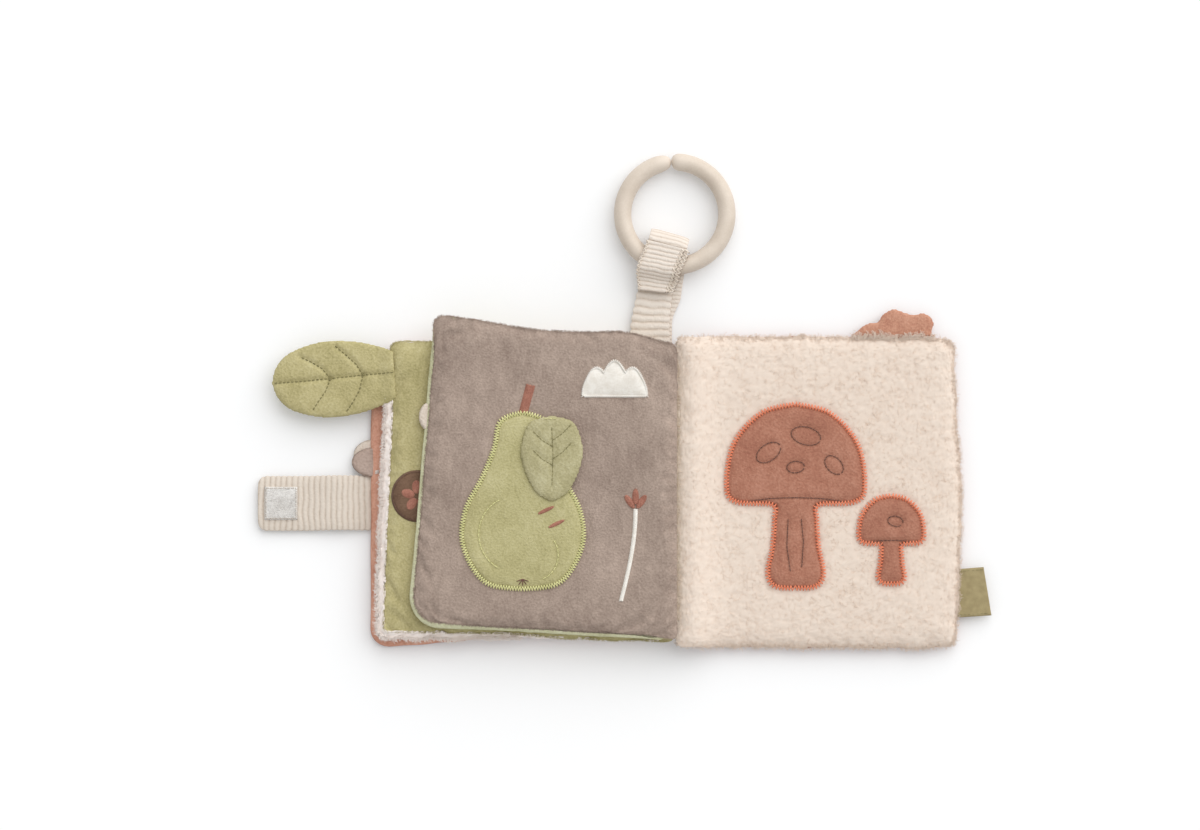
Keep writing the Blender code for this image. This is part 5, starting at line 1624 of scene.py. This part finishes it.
def add_hanging_strap():
    """The strap under and round the ring, its short base, its flap and the touch tape between them."""
    radius = (HANGER_HIGH - HANGER_LOW) / 2
    route = [(-0.0050, HANGER_LOW), (HANGER_TURN, HANGER_LOW)]
    for k in range(1, 13):
        angle = -math.pi / 2 + math.pi * k / 12
        route.append((HANGER_TURN + radius * math.cos(angle), HANGER_LOW + radius + radius * math.sin(angle)))
    frame_at, length = hanger_frames(route, strap_side)
    bm = ribbed_band(length, frame_at, lambda along: 0.0190, thickness=0.0016, pitch=0.0021, deep=0.40,
                     seed=91)
    strap = new_piece("hanging_strap_corduroy", bm, "cream_corduroy", None, ["hanging_strap"])
    frame_at, base_length = hanger_frames([(-0.0050, 0.0027), (0.0245, 0.0027)], base_side)
    bm = ribbed_band(base_length, frame_at, lambda along: mix(0.0194, 0.0160, along / base_length),
                     thickness=0.0018, pitch=0.0036, deep=0.55, seed=92, fray=0.10)
    base = new_piece("hanging_strap_base_corduroy", bm, "cream_corduroy", None, ["hanging_strap_base"])
    for piece in (strap, base):
        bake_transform(piece)
    route = [(0.0205, FLAP_END_Z), (0.0256, FLAP_END_Z), (0.0281, mix(FLAP_END_Z, HANGER_HIGH, 0.42)),
             (0.0306, mix(FLAP_END_Z, HANGER_HIGH, 0.90)), (0.0331, HANGER_HIGH), (HANGER_TURN, HANGER_HIGH)]
    frame_at, flap_length = hanger_frames(rounded_route(route), flap_side)
    bm = ribbed_band(flap_length, frame_at, flap_width, thickness=0.0018, pitch=0.0021, deep=0.45, seed=93,
                     fray=0.12)
    flap = new_piece("hanging_strap_flap_corduroy", bm, "cream_corduroy", None, ["hanging_strap_flap"])
    for piece in (strap, base, flap):
        add_rounding(piece)
    edges = []
    marks = []
    for away, width in ((0.95, 0.0022), (0.74, 0.0014), (-0.95, 0.0012)):
        path = []
        for k in range(1, 60):
            along = flap_length * k / 60
            centre, aside, up = frame_at(along)
            path.append(centre + aside * (away * flap_width(along) / 2) + up * 0.0010)
        stitches = side_zigzag(path, 0.0021, width)
        edges += stitches
        if away > 0:
            marks += [(Vector(run[0]), Vector(run[1])) for run in stitches]
    edging = stitched("hanging_strap_flap_edging", edges, 0.00030, "edging_thread", None)
    # Short dark dashes at the needle points: painted shade in the needle holes.
    sunk = Vector((0, 0, 0.0001))
    runs = [[tuple(place.lerp(onward, share) - sunk) for share in (-0.4, 0.2)] for place, onward in marks]
    holes = stitched("hanging_strap_flap_needle_hole_shade", runs, 0.00034, "shade_thread", None)
    for piece in (flap, edging, holes):
        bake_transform(piece)
    for name, node, body in (
        ("hanging_loop_pad", "hanging_loop_tape", "hanging_strap"),
        ("hanging_hook_pad", "hanging_hook_tape", "strap_flap"),
    ):
        low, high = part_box(node)
        half = (high.z - low.z) / 2
        bm = stuffed(TAPE_CORNERS, 0.0006, upper=half, lower=half, fall=0.0006, seed=94, soft=0.25)
        for vert in bm.verts:
            vert.co = hanger_point(vert.co.x, vert.co.y, (low.z + high.z) / 2 + vert.co.z)
        bmesh.ops.recalc_face_normals(bm, faces=bm.faces)
        new_piece(name, bm, "white_hook_tape", body, [node])


def side_zigzag(path, pitch, width):
    """Slanting stitches to and fro along a line in space, in the plane of the table."""
    runs = []
    sunk = Vector((0, 0, 0.0002))
    length = sum((b - a).length for a, b in zip(path, path[1:]))
    steps = int(length / pitch * 2)
    points = []
    for k in range(steps + 1):
        at = k / steps * (len(path) - 1)
        base = min(int(at), len(path) - 2)
        spot = path[base].lerp(path[base + 1], at - base)
        along = (path[base + 1] - path[base]).normalized()
        aside = Vector((along.y, -along.x, 0)).normalized()
        points.append(spot + aside * (width / 2 if k % 2 else -width / 2))
    for a, b in zip(points, points[1:]):
        runs.append([tuple(a - sunk), tuple(a.lerp(b, 0.5)), tuple(b - sunk)])
    return runs


RING_MIDDLE = (-0.0010, 0.1338, 0.00515)
RING_RADIUS = 0.0251
RING_SECTION = 0.0042
RING_TILT = -0.0378305
RING_GAP = 0.0006
RING_GAP_ANGLE = math.radians(94)
RING_BLUNT_TAPER = 0.0042
RING_LONG_TAPER = 0.0070
RING_END_SHARE = 0.36


def add_ring():
    """The moulded ring: round section, nearly closed, its two ends a little narrower."""
    gap = RING_GAP / RING_RADIUS
    bm = bmesh.new()
    loop = bmesh.ops.create_circle(bm, segments=28, radius=RING_SECTION)["verts"]
    bmesh.ops.rotate(bm, verts=loop, cent=(0, 0, 0), matrix=Matrix.Rotation(math.pi / 2, 3, "X"))
    bmesh.ops.translate(bm, verts=loop, vec=(RING_RADIUS, 0, 0))
    turn = Matrix.Rotation(RING_GAP_ANGLE + gap / 2, 3, "Z")
    bmesh.ops.rotate(bm, verts=loop, cent=(0, 0, 0), matrix=turn)
    bmesh.ops.spin(bm, geom=bm.verts[:] + bm.edges[:], cent=(0, 0, 0), axis=(0, 0, 1), angle=math.tau - gap,
                   steps=220)
    for vert in bm.verts:
        angle = math.atan2(vert.co.y, vert.co.x)
        from_gap = abs((angle - RING_GAP_ANGLE + math.pi) % math.tau - math.pi) - gap / 2
        blunt = vert.co.x > RING_RADIUS * math.cos(RING_GAP_ANGLE)
        reach = max(from_gap * RING_RADIUS, 0) / (RING_BLUNT_TAPER if blunt else RING_LONG_TAPER)
        share = mix(RING_END_SHARE, 1, math.sqrt(1 - (1 - min(reach, 1)) ** 2))
        line = Vector((math.cos(angle), math.sin(angle), 0)) * RING_RADIUS
        vert.co = line + (vert.co - line) * share
    bmesh.ops.holes_fill(bm, edges=[edge for edge in bm.edges if edge.is_boundary], sides=0)
    caps = [face for face in bm.faces if len(face.verts) > 4]
    bmesh.ops.inset_region(bm, faces=caps, thickness=0.0005, depth=0.0002)
    bmesh.ops.recalc_face_normals(bm, faces=bm.faces)
    bm.transform(Matrix.Translation(RING_MIDDLE) @ Matrix.Rotation(RING_TILT, 4, "X"))
    new_piece("carrying_ring_plastic", bm, "beige_plastic", "carrying_ring", ["carrying_ring"])


# Spine, hems and filling


def strip(name, route, low_y, high_y, rows, finish, body, node, wall=0.0009, gathers=0.0):
    """A sewn strip of cloth: a route in X and Z drawn out along Y."""
    fine = resample(rounded_route(route, 2), 0.0005)
    bm = unit_grid(len(fine) - 1, rows)
    for vert in bm.verts:
        x, z = fine[round(vert.co.x * (len(fine) - 1))]
        y = mix(low_y, high_y, vert.co.y)
        wave = gathers * noise.noise(Vector((vert.co.x * 2, y / 0.006, 101)))
        vert.co = x, y, z + wave
    bmesh.ops.recalc_face_normals(bm, faces=bm.faces)
    return add_wall(new_piece(name, bm, finish, body, [node]), wall, 0)


def add_spine():
    """The rust spine, the web in the gutter and the hems sewn to it."""
    spine = strip("spine_cloth", [(-0.0125, 0.0010), (-0.006, 0.0010), (0.0045, 0.0010)], -0.0690, 0.0698, 60,
                  "rust_velour", None, "spine_strip", wall=0.0014, gathers=0.0001)
    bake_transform(spine)
    web = strip("binding_web_cloth", [(0, 0.0021), (0, 0.0070), (0, 0.0108)], -0.067, 0.068, 70,
                "rust_velour", "front_cover", "binding_web", wall=0.0010)
    hem_1 = strip("leaf_1_hem_cloth", [(-0.0060, 0.0093), (-0.0023, 0.0093), (-0.0023, 0.0148)], -0.061,
                  0.063, 60, "green_velour", None, "leaf_1_hem")
    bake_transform(hem_1)
    hem_2 = strip("leaf_2_hem_cloth", [(-0.0060, 0.0161), (-0.0030, 0.0158), (-0.0010, 0.0156)], -0.0600,
                  0.0620, 60, "taupe_velour", None, "leaf_2_hem", wall=0.0008)
    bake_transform(hem_2)
    hem_3 = strip("back_cover_hem_cloth", [(0.0040, 0.0037), (0.0023, 0.0037), (0.0021, 0.0122)], -0.0620,
                  0.0620, 60, "cream_sherpa", "back_cover", "back_cover_hem", wall=0.0008)
    # Half way between the painted shade of the hollows and the lit tips.
    set_attribute(hem_3, "tips", [0.5] * len(hem_3.data.vertices))


TACK_X = -0.1442
TACK_Y = 0.0096


def add_tack():
    """The small stitch that draws the front cover's fore edge in."""
    level = above(LEVELS["front_cover"], 0.0002)
    runs = []
    for k in range(3):
        middle = TACK_Y + (k - 1) * 0.0006
        path = [(TACK_X - 0.0010, middle - 0.0003), (TACK_X + 0.0010, middle + 0.0003)]
        runs += dashes(path, 0.0019, 0.0004, level, 0.0003)
    stitched("front_cover_tack_stitches", runs, 0.00022, "cream_thread", "front_cover")


FILLING_INSET = 0.0122


def filling_place(page, vert, half_width, power):
    """Where a point of a unit grid lies in a pad's filling, and its share and distance in from the edge."""
    a = vert.co.x * 2 - 1
    b = vert.co.y * 2 - 1
    share = 1 - max(abs(a), abs(b))
    inset = FILLING_INSET + (half_width - FILLING_INSET) * share**power
    x, y = ring_place(page, a, b, inset)
    return x, y, share, inset


def add_filling():
    """The wadding and the crumpled film inside each pad."""
    for body, page in (("front_cover", FRONT_COVER), ("leaf_1", LEAF_1), ("leaf_2", LEAF_2),
                       ("back_cover", BACK_COVER)):
        low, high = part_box(body + "_wadding")
        middle = (low.z + high.z) / 2
        half_width = max(page.top_width, page.bottom_width) / 2
        bm = unit_grid(36, 40)
        under = doubled(bm)[1]
        for vert in bm.verts:
            x, y, share, inset = filling_place(page, vert, half_width, 1.3)
            swell = (high.z - low.z) / 2 * (0.35 + 0.65 * (1 - math.exp(-(inset - FILLING_INSET) / 0.006)))
            if share < 1e-6:
                swell = 0
            vert.co = x, y, middle + (-swell if vert in under else swell)
        bmesh.ops.remove_doubles(bm, verts=bm.verts, dist=0.00001)
        bmesh.ops.recalc_face_normals(bm, faces=bm.faces)
        new_piece(body + "_wadding_sheet", bm, "wadding", body, [body + "_wadding"])
        low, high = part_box(body + "_crinkle_film")
        middle = (low.z + high.z) / 2
        bm = unit_grid(60, 66)
        for vert in bm.verts:
            x, y, share, inset = filling_place(page, vert, half_width, 1.1)
            crease = abs(noise.noise(Vector((x / 0.011, y / 0.011, 111)))) * 0.00022
            vert.co = x, y, middle + crease
        sheet = new_piece(body + "_crumpled_film", bm, "crinkle_film", body, [body + "_crinkle_film"])
        add_wall(sheet, 0.0001, 0)


def add_loop_patch():
    """The loop patch let into the back cover's outer face."""
    patch = box_patch(*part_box("closing_loop_patch"), 0.0006, 83)
    pad = new_piece("closing_loop_pad", patch, "white_hook_tape", "back_cover", ["closing_loop_patch"])


# Stage, light and camera


FLOOR_SIZE = 8
FLOOR_Z = -0.0010
FLOOR_GLOW = 0.072
SKY_STRENGTH = 0.60
LAMP_STRENGTH = 2.15
LAMP_SPREAD = math.radians(80)
LAMP_FROM = Vector((0.50, 0.78, 0.72))


def matte(tree, *colour):
    """A plain colour in a node tree."""
    shader = tree.nodes.new("ShaderNodeBsdfDiffuse")
    shader.inputs["Color"].default_value = (*colour, 1)
    return shader


def add_stage():
    """A plain pale floor that is white to the camera and keeps the shadow."""
    bm = unit_grid(1, 1)
    for vert in bm.verts:
        vert.co = (vert.co.x - 0.5) * FLOOR_SIZE, (vert.co.y - 0.5) * FLOOR_SIZE, FLOOR_Z
    mesh = bpy.data.meshes.new("floor")
    bm.to_mesh(mesh)
    bm.free()
    floor = bpy.data.objects.new("floor", mesh)
    bpy.context.scene.collection.objects.link(floor)
    material = bpy.data.materials.new("pale_floor")
    material.use_nodes = True
    tree = material.node_tree
    tree.nodes.clear()
    plain = matte(tree, 0.84, 0.84, 0.84)
    white = matte(tree, 0.93, 0.935, 0.94)
    glow = tree.nodes.new("ShaderNodeEmission")
    glow.inputs["Strength"].default_value = FLOOR_GLOW
    both = tree.nodes.new("ShaderNodeAddShader")
    tree.links.new(white.outputs[0], both.inputs[0])
    tree.links.new(glow.outputs[0], both.inputs[1])
    path = tree.nodes.new("ShaderNodeLightPath")
    shown = calc(tree, "MAXIMUM", path.outputs["Is Camera Ray"], path.outputs["Is Glossy Ray"])
    shown = calc(tree, "MAXIMUM", shown, path.outputs["Is Transmission Ray"])
    blend = tree.nodes.new("ShaderNodeMixShader")
    tree.links.new(shown, blend.inputs[0])
    tree.links.new(plain.outputs[0], blend.inputs[1])
    tree.links.new(both.outputs[0], blend.inputs[2])
    out = tree.nodes.new("ShaderNodeOutputMaterial")
    tree.links.new(blend.outputs[0], out.inputs["Surface"])
    mesh.materials.append(material)


def add_light():
    """An even pale sky and one soft lamp from the upper right."""
    world = bpy.data.worlds.new("studio")
    bpy.context.scene.world = world
    world.use_nodes = True
    tree = world.node_tree
    tree.nodes.clear()
    path = tree.nodes.new("ShaderNodeLightPath")
    blend = tree.nodes.new("ShaderNodeMixShader")
    tree.links.new(path.outputs["Is Camera Ray"], blend.inputs[0])
    for k, strength in ((1, SKY_STRENGTH), (2, 1)):
        sky = tree.nodes.new("ShaderNodeBackground")
        sky.inputs["Color"].default_value = (1, 1, 1, 1)
        sky.inputs["Strength"].default_value = strength
        tree.links.new(sky.outputs[0], blend.inputs[k])
    out = tree.nodes.new("ShaderNodeOutputWorld")
    tree.links.new(blend.outputs[0], out.inputs["Surface"])
    lamp = bpy.data.lights.new("soft_lamp", "SUN")
    lamp.energy = LAMP_STRENGTH
    lamp.angle = LAMP_SPREAD
    sun = bpy.data.objects.new("soft_lamp", lamp)
    sun.rotation_mode = "QUATERNION"
    sun.rotation_quaternion = LAMP_FROM.to_track_quat("Z", "Y")
    bpy.context.scene.collection.objects.link(sun)


def add_camera():
    """Straight above, framing the same stretch of table as the photograph."""
    lens = bpy.data.cameras.new("camera")
    lens.sensor_width = SENSOR_WIDTH
    lens.lens = SENSOR_WIDTH * (CAMERA_HEIGHT - VIEW_LEVEL) / VIEW_WIDTH
    camera = bpy.data.objects.new("camera", lens)
    camera.location = (VIEW_CENTRE_X, VIEW_CENTRE_Y, CAMERA_HEIGHT)
    bpy.context.scene.collection.objects.link(camera)
    bpy.context.scene.camera = camera
    bpy.context.scene.view_settings.view_transform = "Standard"


def main():
    """Dress every piece, then set the stage, the light and the camera."""
    add_pages()
    add_spine()
    add_tack()
    add_filling()
    add_badge()
    add_pear()
    add_cloud()
    add_sprig()
    add_mushrooms()
    add_lift_flap()
    add_leaf_tab()
    add_small_tabs()
    add_label()
    add_closing_strap()
    add_loop_patch()
    add_hanging_strap()
    add_ring()
    add_stage()
    add_light()
    add_camera()


main()
